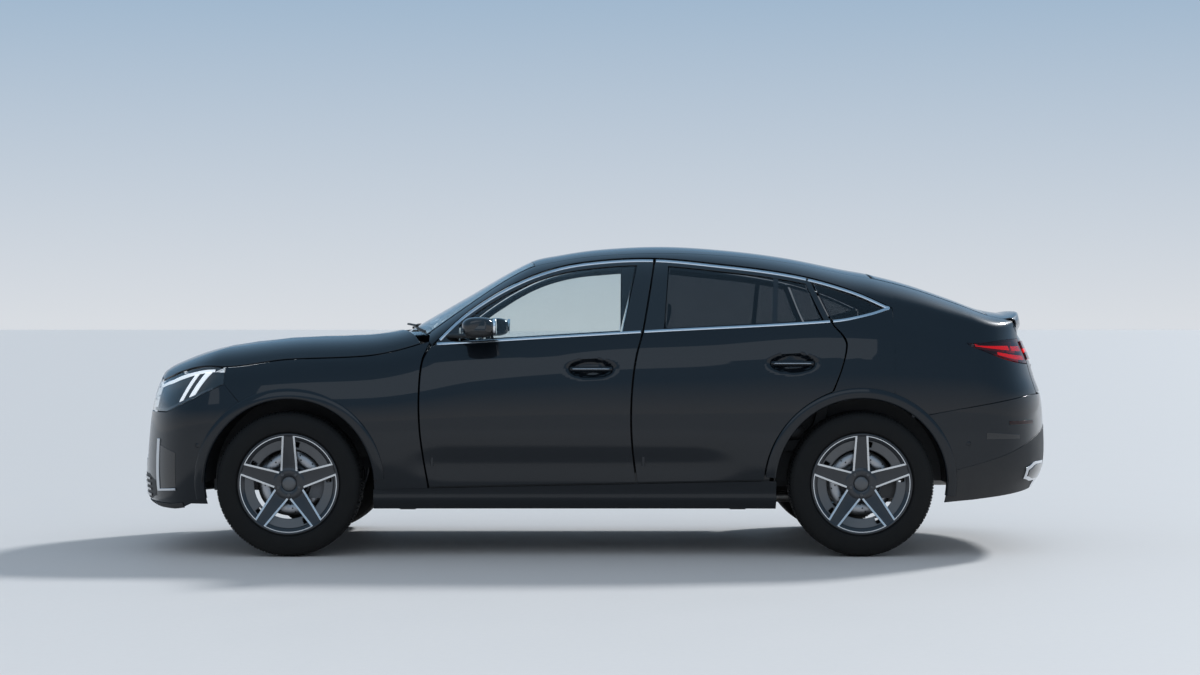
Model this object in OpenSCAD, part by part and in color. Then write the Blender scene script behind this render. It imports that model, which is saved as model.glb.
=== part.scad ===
// Coupe sport utility vehicle with hinged doors, bonnet and tailgate,
// steered front wheels and four turning wheels.
// Front faces -X, the left side faces -Y, the ground is z = 0. Millimetres.

/* [Overall] */
// Distance between the axles
wheelbase = 2888; // [2820:1:2980]
// Nose to front axle
front_overhang = 840; // [820:1:880]
// Rear axle to tail
rear_overhang = 1035; // [1000:1:1080]
// Width of the body at the rear arches
body_w = 1876; // [1850:1:1920]
// Height of the roof at its peak
roof_z = 1589; // [1560:1:1640]

/* [Body] */
// Height where the sides are widest
waist_z = 640; // [620:1:660]
// Underside of the sills
sill_z = 242; // [230:1:260]
// Door bottom at its front end
door_low_front = 352; // [345:1:365]
// Door bottom at its rear end
door_low_rear = 388; // [380:1:400]
// Belt line at the front corner of the windows
belt_front_z = 1063; // [1050:1:1075]
// Belt line at the rear doors
belt_rear_z = 1180; // [1165:1:1195]
// Bonnet height above the front axle
hood_z = 1104; // [1095:1:1115]
// Bonnet height at the windscreen
cowl_z = 1131; // [1122:1:1140]
// Narrowing of the body from waist to sill
tuck = 0.065; // [0.05:0.005:0.08]
// Lean of the side windows at the belt
lean = 0.40; // [0.36:0.01:0.44]
// Height over which the lean is drawn
lean_h = 409; // [400:1:420]
// Step from the door skin to the side window
ledge = 12; // [10:1:16]
// Radius of the front arch opening
front_arch_r = 430; // [425:1:440]
// Radius of the rear arch opening
rear_arch_r = 433; // [428:1:442]
// Width of the arch trim
arch_trim_w = 52; // [40:1:56]
// Thickness of the door shells
door_t = 70; // [60:1:75]
// Thickness of the fixed panels
panel_t = 35; // [25:1:40]
// Thickness of the roof panel
roof_t = 18; // [14:1:22]
// Thickness of the glass
glass_t = 5; // [4:0.5:6]
// Width of the window frames
frame_w = 30; // [26:1:36]
// Depth of the window frames
frame_t = 28; // [24:1:30]

/* [Doors and lids] */
// Gap around the doors
door_gap = 9; // [8:0.5:10]
// Gap around the bonnet
lid_gap = 7; // [6:0.5:9]
// Gap between roof and tailgate
gate_gap = 18; // [17:0.5:20]
// Height of the lower door hinge
hinge_low_z = 480; // [470:1:500]
// Height of the upper door hinge
hinge_high_z = 760; // [740:1:780]
// Radius of the hinge pins
pin_r = 5; // [4.5:0.5:6]
// Running clearance of pins and shafts
play = 0.3; // [0.2:0.05:0.4]
// Fit between fixed neighbours
seat_gap = 0.5; // [0.3:0.1:0.8]
// Open seam between painted panels
seam = 3; // [2:0.5:4]

/* [Wheels] */
// Outer radius of the tyres
tyre_r = 367; // [360:1:374]
// Width of the tyres
tyre_w = 235; // [225:1:245]
// Radius of the tyre bead
bead_r = 241; // [238:1:244]
// Distance between the wheel centres across the car
track = 1630; // [1620:1:1640]
// Radius of the rim edge
flange_r = 258; // [255:1:262]
// Spoke width at the rim
spoke_w = 44; // [36:1:54]
// Spoke width at the hub
spoke_root_w = 58; // [50:1:66]
// Radius of the brake discs
disc_r = 165; // [155:1:172]
// Radius of the wheel spindle
spindle_r = 30; // [26:1:32]
// Steering axis inboard of the wheel centre
kingpin_in = 70; // [65:1:78]

/* [Cabin] */
// Top of the cabin floor
floor_z = 300; // [292:1:308]
// Top of the load floor
load_z = 520; // [510:1:530]
// Radius of the steering wheel
steer_r = 182; // [170:1:190]
// Width of a front seat
seat_w = 500; // [470:1:520]
// Width of the console between the seats
console_w = 240; // [220:1:250]

/* [Hidden] */

$fn = 64;
length = front_overhang + wheelbase + rear_overhang;
nose_x = -length / 2;
tail_x = length / 2;
fa_x = nose_x + front_overhang;
ra_x = fa_x + wheelbase;
wheel_z = tyre_r;
wheel_y = track / 2;
nose_c = fa_x - 360;
tail_c = ra_x + 560;
cowl_x = fa_x + 501;
header_x = fa_x + 1192;
peak_x = fa_x + 1895;
b_x = fa_x + 1726;
lip_x = tail_x - 125;
gate_x = ra_x + 105;
glass_end_x = ra_x + 681;
tip_x = ra_x + 167;
tip_z = belt_rear_z + 74;
split_z = 815;
half_w = body_w / 2;
gate_y = half_w - 338;
hood_nose_y = half_w - 378;
turn_y = half_w - 238;
floor_y = half_w - 208;
wall_y = half_w - 250;
frame_y = wheel_y - 347;
load_y = wheel_y - 181;
seat_y = (console_w + seat_w) / 2;
deck_z = belt_rear_z + 79;

// curves and surfaces

function lerp(a, b, t) = a + (b - a) * t;
function slope(p, i) =
  let (a = max(i - 1, 0), b = min(i + 1, len(p) - 1))
  (p[b][1] - p[a][1]) / (p[b][0] - p[a][0]);
// smooth curve through [position, value] points
function curve(p, x) =
  let (n = len(p) - 1)
  x <= p[0][0] ? p[0][1] : x >= p[n][0] ? p[n][1] :
  let (i = [for (k = [0:n - 1]) if (x >= p[k][0] && x < p[k + 1][0]) k][0],
       h = p[i + 1][0] - p[i][0], t = (x - p[i][0]) / h)
  (2 * t ^ 3 - 3 * t ^ 2 + 1) * p[i][1] + (t ^ 3 - 2 * t ^ 2 + t) * h * slope(p, i)
  + (3 * t ^ 2 - 2 * t ^ 3) * p[i + 1][1] + (t ^ 3 - t ^ 2) * h * slope(p, i + 1);

// half width of the body at the waist
plan_pts = [[nose_c, -36], [fa_x, -2], [fa_x + 600, -16], [ra_x - 700, -13], [ra_x, 0], [tail_c, -36]];
function plan(x) = half_w + curve(plan_pts, x);
// height at which the side section closes: the bonnet in front, the shoulder behind
crown_pts = [[nose_x + 88, 927], [nose_x + 165, 972], [nose_x + 355, hood_z - 68],
  [nose_x + 575, hood_z - 30], [fa_x, hood_z], [cowl_x - 100, cowl_z - 6], [cowl_x + 100, cowl_z + 34],
  [fa_x + 940, 1275], [fa_x + 1540, 1345], [ra_x - 750, 1375], [ra_x - 150, 1420], [tail_c, 1390],
  [tail_x, 1330]];
function crown(x) = curve(crown_pts, x);
// nose and tail seen from the side
nose_pts = [[205, 130], [252, 25], [320, 4], [450, 0], [640, 16], [770, 35], [860, 58], [905, 75],
  [927, 88], [972, 165], [1036, 355], [1074, 575]];
function nose(z) = nose_x + curve(nose_pts, z);
tail_pts = [[250, 215], [300, 85], [340, 60], [430, 5], [640, 0], [800, 14], [900, 50], [1000, 82],
  [1090, 120], [1200, 125], [1240, 150]];
function tail(z) = tail_x - curve(tail_pts, z);
function pos(v) = max(v, 0);
function section(x, z) =
  z < waist_z ? 1 - tuck * ((waist_z - z) / (waist_z - sill_z)) ^ 2
  : pos(1 - ((z - waist_z) / (crown(x) - waist_z)) ^ 2.6) ^ (1 / 5.5);
function end_round(x, z) =
  x < nose_c ? pos(1 - ((nose_c - x) / (nose_c - nose(z))) ^ 2.4) ^ (1 / 2.4)
  : x > tail_c ? pos(1 - ((x - tail_c) / (tail(z) - tail_c)) ^ 2.4) ^ (1 / 2.4) : 1;
// half width of the lower body
function side(x, z) = plan(x) * section(x, z) * end_round(x, z);
// height of the lower body at a distance from the middle
function find_top(x, y, a, b, n) =
  n == 0 ? (a + b) / 2
  : let (m = (a + b) / 2) side(x, m) > y ? find_top(x, y, m, b, n - 1) : find_top(x, y, a, m, n - 1);
function top(x, y) = find_top(x, abs(y), waist_z, crown(x), 16);
// position of the tail at a distance from the middle
function rear_x(y, z) =
  tail_c + (tail(z) - tail_c) * pos(1 - (abs(y) / side(tail_c, z)) ^ 2.4) ^ (1 / 2.4);
// point on the nose at a turn from the middle
function nose_pt(t, z) =
  let (x = nose_c - (nose_c - nose(z)) * cos(t) ^ (2 / 2.4)) [x, side(x, z)];
function tail_pt(t, z) =
  let (x = tail_c + (tail(z) - tail_c) * cos(t) ^ (2 / 2.4)) [x, side(x, z)];

// greenhouse
base_pts = [[cowl_x, belt_front_z - 13], [fa_x + 713, belt_front_z], [b_x + 60, belt_front_z + 64],
  [ra_x - 140, belt_rear_z], [tip_x, belt_rear_z + 8], [lip_x, belt_rear_z - 15]];
function base_z(x) = curve(base_pts, x);
function fall(v) = lerp(roof_z, deck_z, v / 330);
roof_pts = [[cowl_x, cowl_z - 19], [fa_x + 847, lerp(cowl_z - 19, roof_z - 84, 0.51)], [header_x, roof_z - 84],
  [fa_x + 1352, roof_z - 46], [fa_x + 1570, roof_z - 15], [peak_x, roof_z], [ra_x - 669, fall(18)],
  [ra_x - 344, fall(58)], [ra_x - 19, fall(123)], [ra_x + 100, fall(144)], [ra_x + 306, fall(197)],
  [ra_x + 522, fall(271)], [glass_end_x, deck_z], [ra_x + 803, deck_z - 24], [lip_x, deck_z - 31]];
function roof_line(x) = curve(roof_pts, x);
drop_pts = [[cowl_x, 78], [header_x, 46], [peak_x, 42], [ra_x, 48], [glass_end_x, 40], [lip_x, 34]];
function drop(x, y) = curve(drop_pts, x) * (y / gate_y) ^ 2;
function base_y(x) = side(x, base_z(x)) - ledge;
round_k = 9;
// distance by which the side windows lean in at a height above the belt
function lean_in(h) =
  let (u = h / (roof_z - belt_rear_z) * lean_h) lean * u + 0.00035 * u * abs(u);
function upper_step(x, z, y, n) =
  n == 0 ? y
  : let (h = z - base_z(x), b = min(pos(h + drop(x, y)) / (roof_line(x) - base_z(x)), 1))
    upper_step(x, z, (y + pos(base_y(x) * (1 - b ^ round_k) ^ (1 / round_k) - lean_in(h))) / 2, n - 1);
// half width of the greenhouse at a height
function upper(x, z) = upper_step(x, z, half_w - 318, 14);
function roof_step(x, y, h, n) =
  n == 0 ? base_z(x) + h
  : let (a = min((y + lean_in(h)) / base_y(x), 1))
    roof_step(x, y, (roof_line(x) - base_z(x)) * pos(1 - a ^ round_k) ^ (1 / round_k) - drop(x, y), n - 1);
// height of the greenhouse at a distance from the middle
function roof_at(x, y) = roof_step(x, abs(y), 200, 8);

// outlines
function rise(v) = lerp(belt_front_z, roof_z, v / 526);
function sink(v) = lerp(tip_z, roof_z, v / 335);
win_top_pts = [[fa_x + 713, belt_front_z], [fa_x + 886, rise(167)], [fa_x + 1117, rise(313)],
  [fa_x + 1352, rise(404)], [fa_x + 1588, rise(441)], [fa_x + 1848, rise(450)],
  [ra_x - 782, sink(237)], [ra_x - 349, sink(179)], [ra_x - 65, sink(103)], [tip_x, tip_z]];
// upper edge of the side windows
function win_top(x) = curve(win_top_pts, x);
belt_pts = [[fa_x + 713, belt_front_z], [b_x + 60, belt_front_z + 64], [ra_x - 140, belt_rear_z],
  [ra_x + 50, belt_rear_z + 35], [tip_x, tip_z]];
// lower edge of the side windows
function belt(x) = curve(belt_pts, x);
function door_low(x) = lerp(door_low_front, door_low_rear, (x - fa_x - 700) / (wheelbase - 1180));
front_cut_pts = [[352, 707], [490, 683], [650, 664], [820, 660], [985, 675], [1063, 713]];
function front_cut(z) = fa_x + curve(front_cut_pts, z);
b_cut_pts = [[374, 28], [543, 7], [692, 0], [862, 7], [1010, 28], [1138, 62], [1516, 128]];
function b_cut(z) = b_x + curve(b_cut_pts, z);
door_arch_r = rear_arch_r + arch_trim_w + 3;
rear_cut_pts = [[833, -145], [946, -99], [1059, -73], [1110, -92], [1173, -140], [1418, -252]];
function rear_cut(z) =
  z < 833 ? ra_x - sqrt(pos(door_arch_r ^ 2 - (z - wheel_z) ^ 2)) : ra_x + curve(rear_cut_pts, z);
// lower edge of the rear rail behind the windows, along the top of the tail lamp
shoulder_pts = [[tip_x, tip_z], [ra_x + 352, 1160], [ra_x + 530, 1079], [ra_x + 773, 1096], [tail_x - 150, 1100]];
function shoulder(x) = x < tip_x ? win_top(x) : curve(shoulder_pts, x);
tail_lamp_pts = [[ra_x + 530, 1070], [ra_x + 796, 978], [tail_x, 960]];
// side edge of windscreen, roof and tailgate
edge_pts = [[cowl_x, half_w - 193], [fa_x + 681, half_w - 238], [header_x, half_w - 414],
  [peak_x, half_w - 426], [gate_x, half_w - 418], [glass_end_x, gate_y], [lip_x, gate_y - 10]];
function edge_y(x) = curve(edge_pts, x);
// side edge of the bonnet
hood_edge_pts = [[nose_x + 148, hood_nose_y], [nose_x + 232, half_w - 266], [nose_x + 475, half_w - 140],
  [fa_x, half_w - 116], [fa_x + 340, half_w - 123], [fa_x + 660, half_w - 148]];
function hood_edge(x) = curve(hood_edge_pts, x);
function hood_front(y) = nose_x + 90 + 58 * (y / hood_nose_y) ^ 2;
function cowl_line(e) = cowl_x + 180 * e ^ 2;
function hood_rear(e) = cowl_line(e) - 26;
function hood_side_z(x) = top(x, hood_edge(x));
// upper and lower edge of the head lamp
function lamp_low(x) = lerp(726, 872, pos(x - nose_x - 207) / (nose_c + 26 - nose_x - 207));
// lower edge of the quarter panel over the rear bumper
function bumper_top(x) = lerp(700, split_z - 4, min((x - ra_x - 256) / (tail_x - 150 - ra_x - 256), 1));
function bumper_low(x) = lerp(272, 335, (x - ra_x - 420) / (tail_x - ra_x - 420));

// solids

// closed shell between two grids of points
module shell(outer, inner) {
  nr = len(outer);
  nc = len(outer[0]);
  n = nr * nc;
  pts = concat([for (r = outer) each r], [for (r = inner) each r]);
  quads = concat(
    [for (i = [0:nr - 2]) for (j = [0:nc - 2]) [i * nc + j, (i + 1) * nc + j, (i + 1) * nc + j + 1, i * nc + j + 1]],
    [for (i = [0:nr - 2]) for (j = [0:nc - 2])
      [n + i * nc + j, n + i * nc + j + 1, n + (i + 1) * nc + j + 1, n + (i + 1) * nc + j]],
    [for (i = [0:nr - 2]) [i * nc, n + i * nc, n + (i + 1) * nc, (i + 1) * nc]],
    [for (i = [0:nr - 2]) let (k = i * nc + nc - 1) [k, k + nc, n + k + nc, n + k]],
    [for (j = [0:nc - 2]) [j, j + 1, n + j + 1, n + j]],
    [for (j = [0:nc - 2]) let (k = (nr - 1) * nc + j) [k, n + k, n + k + 1, k + 1]]);
  tri = [for (f = quads) each [[f[0], f[1], f[2]], [f[0], f[2], f[3]]]];
  vol = [for (f = tri) cross(pts[f[0]], pts[f[1]]) * pts[f[2]]] * [for (f = tri) 1];
  polyhedron(points = pts, faces = vol < 0 ? tri : [for (f = tri) [f[2], f[1], f[0]]]);
}

module flip() {
  mirror([0, 1, 0]) children();
}

module both() {
  children();
  flip() children();
}

// box from one corner to the other
module box(a, b) {
  translate(a) cube(b - a);
}

// outline in x and z, drawn out across the car
module across(y0, y1) {
  translate([0, y1, 0]) rotate([90, 0, 0]) linear_extrude(y1 - y0) children();
}

// outline in y and z, drawn out along the car
module along(x0, x1) {
  translate([x0, 0, 0]) rotate([90, 0, 90]) linear_extrude(x1 - x0) children();
}

module bar_y(x, z, y0, y1, r) {
  translate([x, y1, z]) rotate([90, 0, 0]) cylinder(r = r, h = y1 - y0);
}

// panel on the left side: column positions, rows, edges and surface as functions
module side_panel(xs, rows, low, high, place, face, t, d = 0) {
  n = len(xs) - 1;
  function at(i, v) =
    let (z0 = lerp(low(xs[i]), high(xs[i]), v), x = place(xs[i], z0)) [x, lerp(low(x), high(x), v)];
  outer = [for (i = [0:n]) [for (j = [0:rows]) let (p = at(i, j / rows)) [p[0], -face(p[0], p[1]), p[1]]]];
  inner = [for (i = [0:n]) [for (j = [0:rows])
    let (p = at(i, j / rows), x = p[0] + d * (1 - 2 * i / n), z = p[1] + d * (1 - 2 * j / rows))
    [x, -face(p[0], p[1]) + t, z]]];
  shell(outer, inner);
}

// floor and frame

module floor_pan() {
  color("dimgray") {
    across(-floor_y + seat_gap, floor_y - seat_gap) polygon([[fa_x + 636, floor_z], [ra_x - 750, floor_z], [ra_x - 588, load_z],
      [ra_x - 540, load_z], [ra_x - 540, load_z - 30], [ra_x - 573, load_z - 30], [ra_x - 735, floor_z - 30],
      [fa_x + 636, floor_z - 30]]);
    box([ra_x - 541, -load_y, load_z - 30], [tail_x - 200, load_y, load_z]);
    box([fa_x + 636, -140, floor_z - 1], [ra_x - 760, 140, floor_z + 110]);
    box([tail_x - 201, -gate_y, load_z - 110], [tail_x - 170, gate_y, load_z + 180]);
  }
}

function sill_top(x) = door_low(x) + 44;
sill_x0 = fa_x + front_arch_r + 4;
sill_x1 = ra_x - rear_arch_r - 26;
function sill_ring(x) =
  let (z = door_low(x) - 8, w = plan(x), u = side(x, door_low(x)) - door_t - 12)
  [[x, -floor_y, sill_z + 10], [x, -half_w + 93, sill_z], [x, -(w * (1 - tuck)) - 1, sill_z + 22], [x, -side(x, z), z],
   [x, -u, z], [x, -u, z + 52], [x, -floor_y, z + 52]];
module sills() {
  xs = [sill_x0, fa_x + 1000, ra_x - 900, sill_x1];
  rings = [for (x = xs) sill_ring(x)];
  n = len(rings[0]);
  pts = [for (r = rings) each r];
  m = len(pts) - n;
  sides = [for (k = [0:len(xs) - 2]) for (i = [0:n - 1]) let (a = k * n + i, b = k * n + (i + 1) % n)
    each [[a, a + n, b], [b, a + n, b + n]]];
  caps = concat([for (t = [[0, 1, 6], [1, 4, 6], [1, 2, 4], [2, 3, 4], [4, 5, 6]]) t],
    [for (t = [[0, 1, 6], [1, 4, 6], [1, 2, 4], [2, 3, 4], [4, 5, 6]]) [t[2] + m, t[1] + m, t[0] + m]]);
  color("#1b1c1e") both() {
    polyhedron(points = pts, faces = [for (f = concat(sides, caps)) [f[2], f[1], f[0]]]);
    for (x = jack_x) box([x - 40, -half_w + 123, sill_z - 10], [x + 40, -half_w + 183, sill_z + 20]);
  }
}
jack_x = [sill_x0 + 160, sill_x1 - 160];

hinge_x = fa_x + 722;
hinge_y = plan(hinge_x) - 25;
rear_hinge_x = b_x + 62;
rear_hinge_y = plan(rear_hinge_x) - 25;
pillar_y = side(hinge_x, door_low_front + 44) - door_t - 12;

module hinge_eye(x, y, y_in, z) {
  difference() {
    union() {
      translate([x, -y, z - 24]) cylinder(r = pin_r + 4, h = 48);
      box([x - pin_r - 4, -y, z - 24], [x + pin_r + 4, -y_in, z + 24]);
    }
    translate([x, -y, z - 30]) cylinder(r = pin_r + play, h = 60);
  }
}

module firewall() {
  color("dimgray") {
    box([fa_x + 601, -wall_y, floor_z - 30], [fa_x + 635.5, wall_y, belt_front_z - 11]);
    both() {
      difference() {
        union() {
          box([fa_x + 601, -wall_y, bonnet_hz - 103], [fa_x + 635.5, -wall_y + 48, bonnet_hz]);
          box([fa_x + 615, -wall_y, bonnet_hz - 25], [bonnet_hx + 10, -wall_y + 16, bonnet_hz + 10]);
        }
        bar_y(bonnet_hx, bonnet_hz, -wall_y - 12, -wall_y + 28, pin_r + play);
      }
    }
  }
}
bonnet_hx = fa_x + 662;
bonnet_hz = belt_front_z;

module cowl() {
  e = [for (k = [-8:8]) k / 8];
  outer = [for (a = e) [for (v = [0, 0.5, 1])
    let (x = lerp(min(hood_rear(a) - 40, fa_x + 520), fa_x + 601 - seat_gap, v), y = a * (wall_y - 58)) [x, y, roof_line(cowl_x) - 34 - 60 * a ^ 2]]];
  inner = [for (r = outer) [for (p = r) p - [0, 0, 16]]];
  color("#1b1c1e") shell(outer, inner);
}

module front_frame() {
  color("gray") {
    box([fa_x - 699, -frame_y - 72, 470], [fa_x - 639, frame_y + 72, 580]);
    both() {
      box([fa_x - 640, -frame_y, 480], [fa_x + 600.5, -frame_y + 68, 570]);
      box([fa_x - 440, -frame_y, 569], [fa_x + 440, -frame_y + 6, 900]);
      difference() {
        union() {
          box([fa_x - 20, -wheel_y + kingpin_in, wheel_z + 120], [fa_x + 20, -frame_y + 1, wheel_z + 145]);
          translate([fa_x, -wheel_y + kingpin_in, wheel_z + 120]) cylinder(r = 20, h = 25);
        }
        translate([fa_x, -wheel_y + kingpin_in, wheel_z + 110]) cylinder(r = 10 + play, h = 50);
      }
    }
  }
}

module radiator() {
  color("#303236") box([fa_x - 638.5, -frame_y + 78, 330], [fa_x - 580, frame_y - 78, 820]);
}

module engine() {
  color("#55585c") box([fa_x - 480, -250, 290.5], [fa_x + 160, 250, 860]);
}

module front_subframe() {
  color("#3a3c40") {
    box([fa_x - 100, -frame_y + 48, 215], [fa_x + 100, frame_y - 48, 290]);
    both() difference() {
      union() {
        box([fa_x - 20, -wheel_y + kingpin_in, wheel_z - 140], [fa_x + 20, -frame_y + 49, wheel_z - 115]);
        translate([fa_x, -wheel_y + kingpin_in, wheel_z - 140]) cylinder(r = 20, h = 25);
      }
      translate([fa_x, -wheel_y + kingpin_in, wheel_z - 150]) cylinder(r = 10 + play, h = 50);
    }
    both() box([fa_x - 40, -frame_y + 6, 288], [fa_x + 40, -frame_y + 47, 479.5]);
  }
}

// brake caliper over the disc, beside the hub
module caliper(x) {
  difference() {
    box([x + 96, -wheel_y - 40, wheel_z - 75], [x + 190, -wheel_y + 48, wheel_z + 75]);
    bar_y(x, wheel_z, -wheel_y - 26, -wheel_y + 20, disc_r + 4);
    bar_y(x, wheel_z, -wheel_y - 60, -wheel_y + 60, 108);
  }
}

module knuckle() {
  box([fa_x - 32, -wheel_y + 28, wheel_z - 105], [fa_x + 32, -wheel_y + 92, wheel_z + 110]);
  box([fa_x, -wheel_y + 28, wheel_z - 40], [fa_x + 150, -wheel_y + 48, wheel_z + 40]);
  translate([fa_x, -wheel_y + kingpin_in, wheel_z - 146]) cylinder(r = 10, h = 298);
  bar_y(fa_x, wheel_z, -wheel_y - 52, -wheel_y + 30, spindle_r);
  caliper(fa_x);
}
module knuckle_left() {
  color("#6a6d70") knuckle();
}
module knuckle_right() {
  color("#6a6d70") flip() knuckle();
}

module rear_axle() {
  color("#3a3c40") {
    box([ra_x - 100, -frame_y + 48, 280], [ra_x + 100, frame_y - 48, 350]);
    box([ra_x - 60, -60, 349], [ra_x + 60, 60, load_z - 30.5]);
    both() {
      box([ra_x - 30, -wheel_y + 92, wheel_z - 60], [ra_x + 30, -frame_y + 49, wheel_z - 25]);
      box([ra_x - 32, -wheel_y + 28, wheel_z - 90], [ra_x + 32, -wheel_y + 93, wheel_z + 90]);
      box([ra_x, -wheel_y + 28, wheel_z - 40], [ra_x + 150, -wheel_y + 48, wheel_z + 40]);
      bar_y(ra_x, wheel_z, -wheel_y - 52, -wheel_y + 30, spindle_r);
      caliper(ra_x);
    }
  }
}

module fuel_tank() {
  color("#26282b") box([ra_x - 555, -load_y + 94, 330], [ra_x - 180, load_y - 94, load_z - 30.5]);
}

module exhaust() {
  color("#7c7f83") {
    box([ra_x + 380, -430, 330], [ra_x + 720, 430, load_z - 30.5]);
    translate([fa_x + 690, 0, floor_z - 61]) rotate([0, 90, 0]) cylinder(r = 30, h = ra_x + 340 - fa_x - 690);
    translate([ra_x + 340, 0, floor_z - 61]) sphere(r = 30);
    rising_pipe();
    both() translate([ra_x + 719, -380, 368]) rotate([0, 90, 0]) cylinder(r = 36, h = 150);
  }
}
module rising_pipe() {
  translate([ra_x + 340, 0, floor_z - 61]) rotate([0, 35, 0]) cylinder(r = 30, h = 200);
}

module hinge_pillars() {
  z0 = sill_top(hinge_x + 25) + seat_gap;
  color("#17191c") both() {
    along(fa_x + 580, hinge_x + 25) polygon([[-wall_y - 2, z0], [-pillar_y, z0], [-pillar_y, 800],
      [-pillar_y + 80, belt_front_z - 28], [-wall_y - 2, belt_front_z - 28]]);
    for (z = [hinge_low_z, hinge_high_z]) hinge_eye(hinge_x, hinge_y, pillar_y - 5, z);
  }
}

module b_pillars() {
  z0 = sill_top(b_x + 150) + seat_gap;
  zt = win_top(b_x + 70) - 24;
  zr = roof_at(b_x - 40, half_w - 438) - roof_t - 1.1;
  color("#17191c") both() {
    along(b_x - 40, b_x + 150) polygon([[-pillar_y + 90, z0], [-pillar_y, z0], [-pillar_y, 800],
      [-pillar_y + 78, 1080], [-half_w + 416, zt - 40], [-half_w + 430, zt], [-half_w + 438, zr],
      [-half_w + 483, zr], [-half_w + 473, zt - 40], [-half_w + 268, 1080], [-pillar_y + 90, 800]]);
    for (z = [hinge_low_z, hinge_high_z]) hinge_eye(rear_hinge_x, rear_hinge_y, pillar_y - 5, z);
  }
}

// outer panels

paint = "#10141c";
trim = "#1b1c1e";

seam_x = fa_x - front_arch_r / 2;
fender_xs = concat([nose_c + 28, nose_c + 67, nose_c + 106],
  [for (a = [120:-10:10]) fa_x + front_arch_r * cos(a)],
  [fa_x + front_arch_r, fa_x + front_arch_r + 2, fa_x + 500, fa_x + 570, fa_x + 640]);
function fender_low(x) =
  x < seam_x ? lerp(872, wheel_z + front_arch_r * sin(120), (x - nose_c - 28) / (seam_x - nose_c - 28))
  : x <= fa_x + front_arch_r ? wheel_z + sqrt(pos(front_arch_r ^ 2 - (x - fa_x) ^ 2)) : door_low(x) - 8 + seat_gap;
function fender_high(x) = hood_side_z(x) - lid_gap;
module fender() {
  xa = fa_x + 360;
  xb = fa_x + 640;
  side_panel(fender_xs, 8, function(x) fender_low(x), function(x) fender_high(x),
    function(x, z) x + pos((x - xa) / (xb - xa)) ^ 2 * (front_cut(z) - door_gap - xb),
    function(x, z) side(x, z), panel_t - 10, 16);
}
module fender_left() {
  color(paint) fender();
}
module fender_right() {
  color(paint) flip() fender();
}

module bonnet() {
  e = [for (k = [-7:7]) k / 7];
  function at(a, v) =
    let (x = lerp(hood_front(hood_nose_y * a), hood_rear(a), v), y = a * hood_edge(x)) [x, y, top(x, y)];
  vs = [0, 0.04, 0.1, 0.2, 0.32, 0.45, 0.6, 0.75, 0.88, 1];
  outer = [for (a = e) [for (v = vs) at(a, v)]];
  inner = [for (a = e) [for (v = vs) let (p = at(a, v)) [p[0] + 18 * (1 - 2 * v), p[1] * 0.975, p[2] - lerp(26, 14, a ^ 4)]]];
  color(paint) {
    shell(outer, inner);
    both() {
      box([bonnet_hx - 75, -wall_y - 28, bonnet_hz - 12], [bonnet_hx + 9, -wall_y - 6, bonnet_hz + 12]);
      box([bonnet_hx - 75, -wall_y - 28, bonnet_hz - 12], [bonnet_hx - 45, -wall_y - 6, bonnet_hz + 30]);
      bar_y(bonnet_hx, bonnet_hz, -wall_y - 12, -wall_y + 24, pin_r);
    }
  }
}

// doors

door_xs = [for (k = [0:12]) lerp(fa_x + 660, b_x, k / 12)];
module door_notch(x, y, z) {
  box([x - 90, -y - pin_r - 6, z - 30], [x + pin_r + 8, -y + 200, z + 30]);
}
module door_pin(x, y, z) {
  translate([x, -y, z - 45]) cylinder(r = pin_r, h = 90);
}
module handle(x, z) {
  y = side(x, z);
  box([x - 110, -y - 14, z - 12], [x + 110, -y - 4, z + 12]);
  for (s = [-1, 1]) box([x + s * 92 - 18, -y - 10, z - 9], [x + s * 92 + 18, -y + 25, z + 9]);
}

function frame_ring(o, i) = [for (k = [0:len(o) - 1]) [o[k], i[k]]];
function on_upper(p) = [p[0], -upper(p[0], p[1]), p[1]];
module frame(o, i) {
  outer = [for (r = frame_ring(o, i)) [for (p = r) on_upper(p)]];
  inner = [for (r = outer) [for (p = r) p + [0, frame_t, 0]]];
  shell(outer, inner);
}

sail_x = fa_x + 852;
function front_pane_rear(z) = b_x + lerp(-42, 38, (z - belt_front_z - 64) / (roof_z - 164 - belt_front_z));
function rear_pane_front(z) = b_x + lerp(166, 196, (z - belt_front_z - 64) / (roof_z - 164 - belt_front_z));
function rear_pane_rear(z) = rear_cut(z) - 34;

module door_front() {
  xa = door_xs[0];
  xb = door_xs[12];
  difference() {
    side_panel(door_xs, 8, function(x) door_low(x), function(x) belt(x) - 1,
      function(x, z) let (u = (x - xa) / (xb - xa))
        x + (1 - u) * (front_cut(z) - xa) + u * (b_cut(z) - door_gap / 2 - xb),
      function(x, z) side(x, z), door_t, 3);
    for (z = [hinge_low_z, hinge_high_z]) door_notch(hinge_x, hinge_y, z);
  }
  for (z = [hinge_low_z, hinge_high_z]) door_pin(hinge_x, hinge_y, z);
  handle(fa_x + 1524, 947);
  zt = win_top(b_x + 118) - 7;
  o = concat([[fa_x + 722, belt(fa_x + 722) - 14]],
    [for (k = [0:13]) let (x = lerp(fa_x + 738, b_x + 118, k / 13)) [x, win_top(x) - 7]],
    [for (k = [1:4]) let (z = lerp(zt, belt(b_x) - 14, k / 4)) [b_cut(z) - door_gap / 2, z]]);
  zi = win_top(b_x + 36) - 7 - frame_w;
  i = concat([[sail_x, belt(sail_x) - 14]],
    [for (k = [0:13]) let (x = lerp(sail_x, front_pane_rear(zi), k / 13)) [x, win_top(x) - 7 - frame_w]],
    [for (k = [1:4]) let (z = lerp(zi, belt(b_x) - 14, k / 4)) [front_pane_rear(z), z]]);
  frame(o, i);
}

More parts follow.
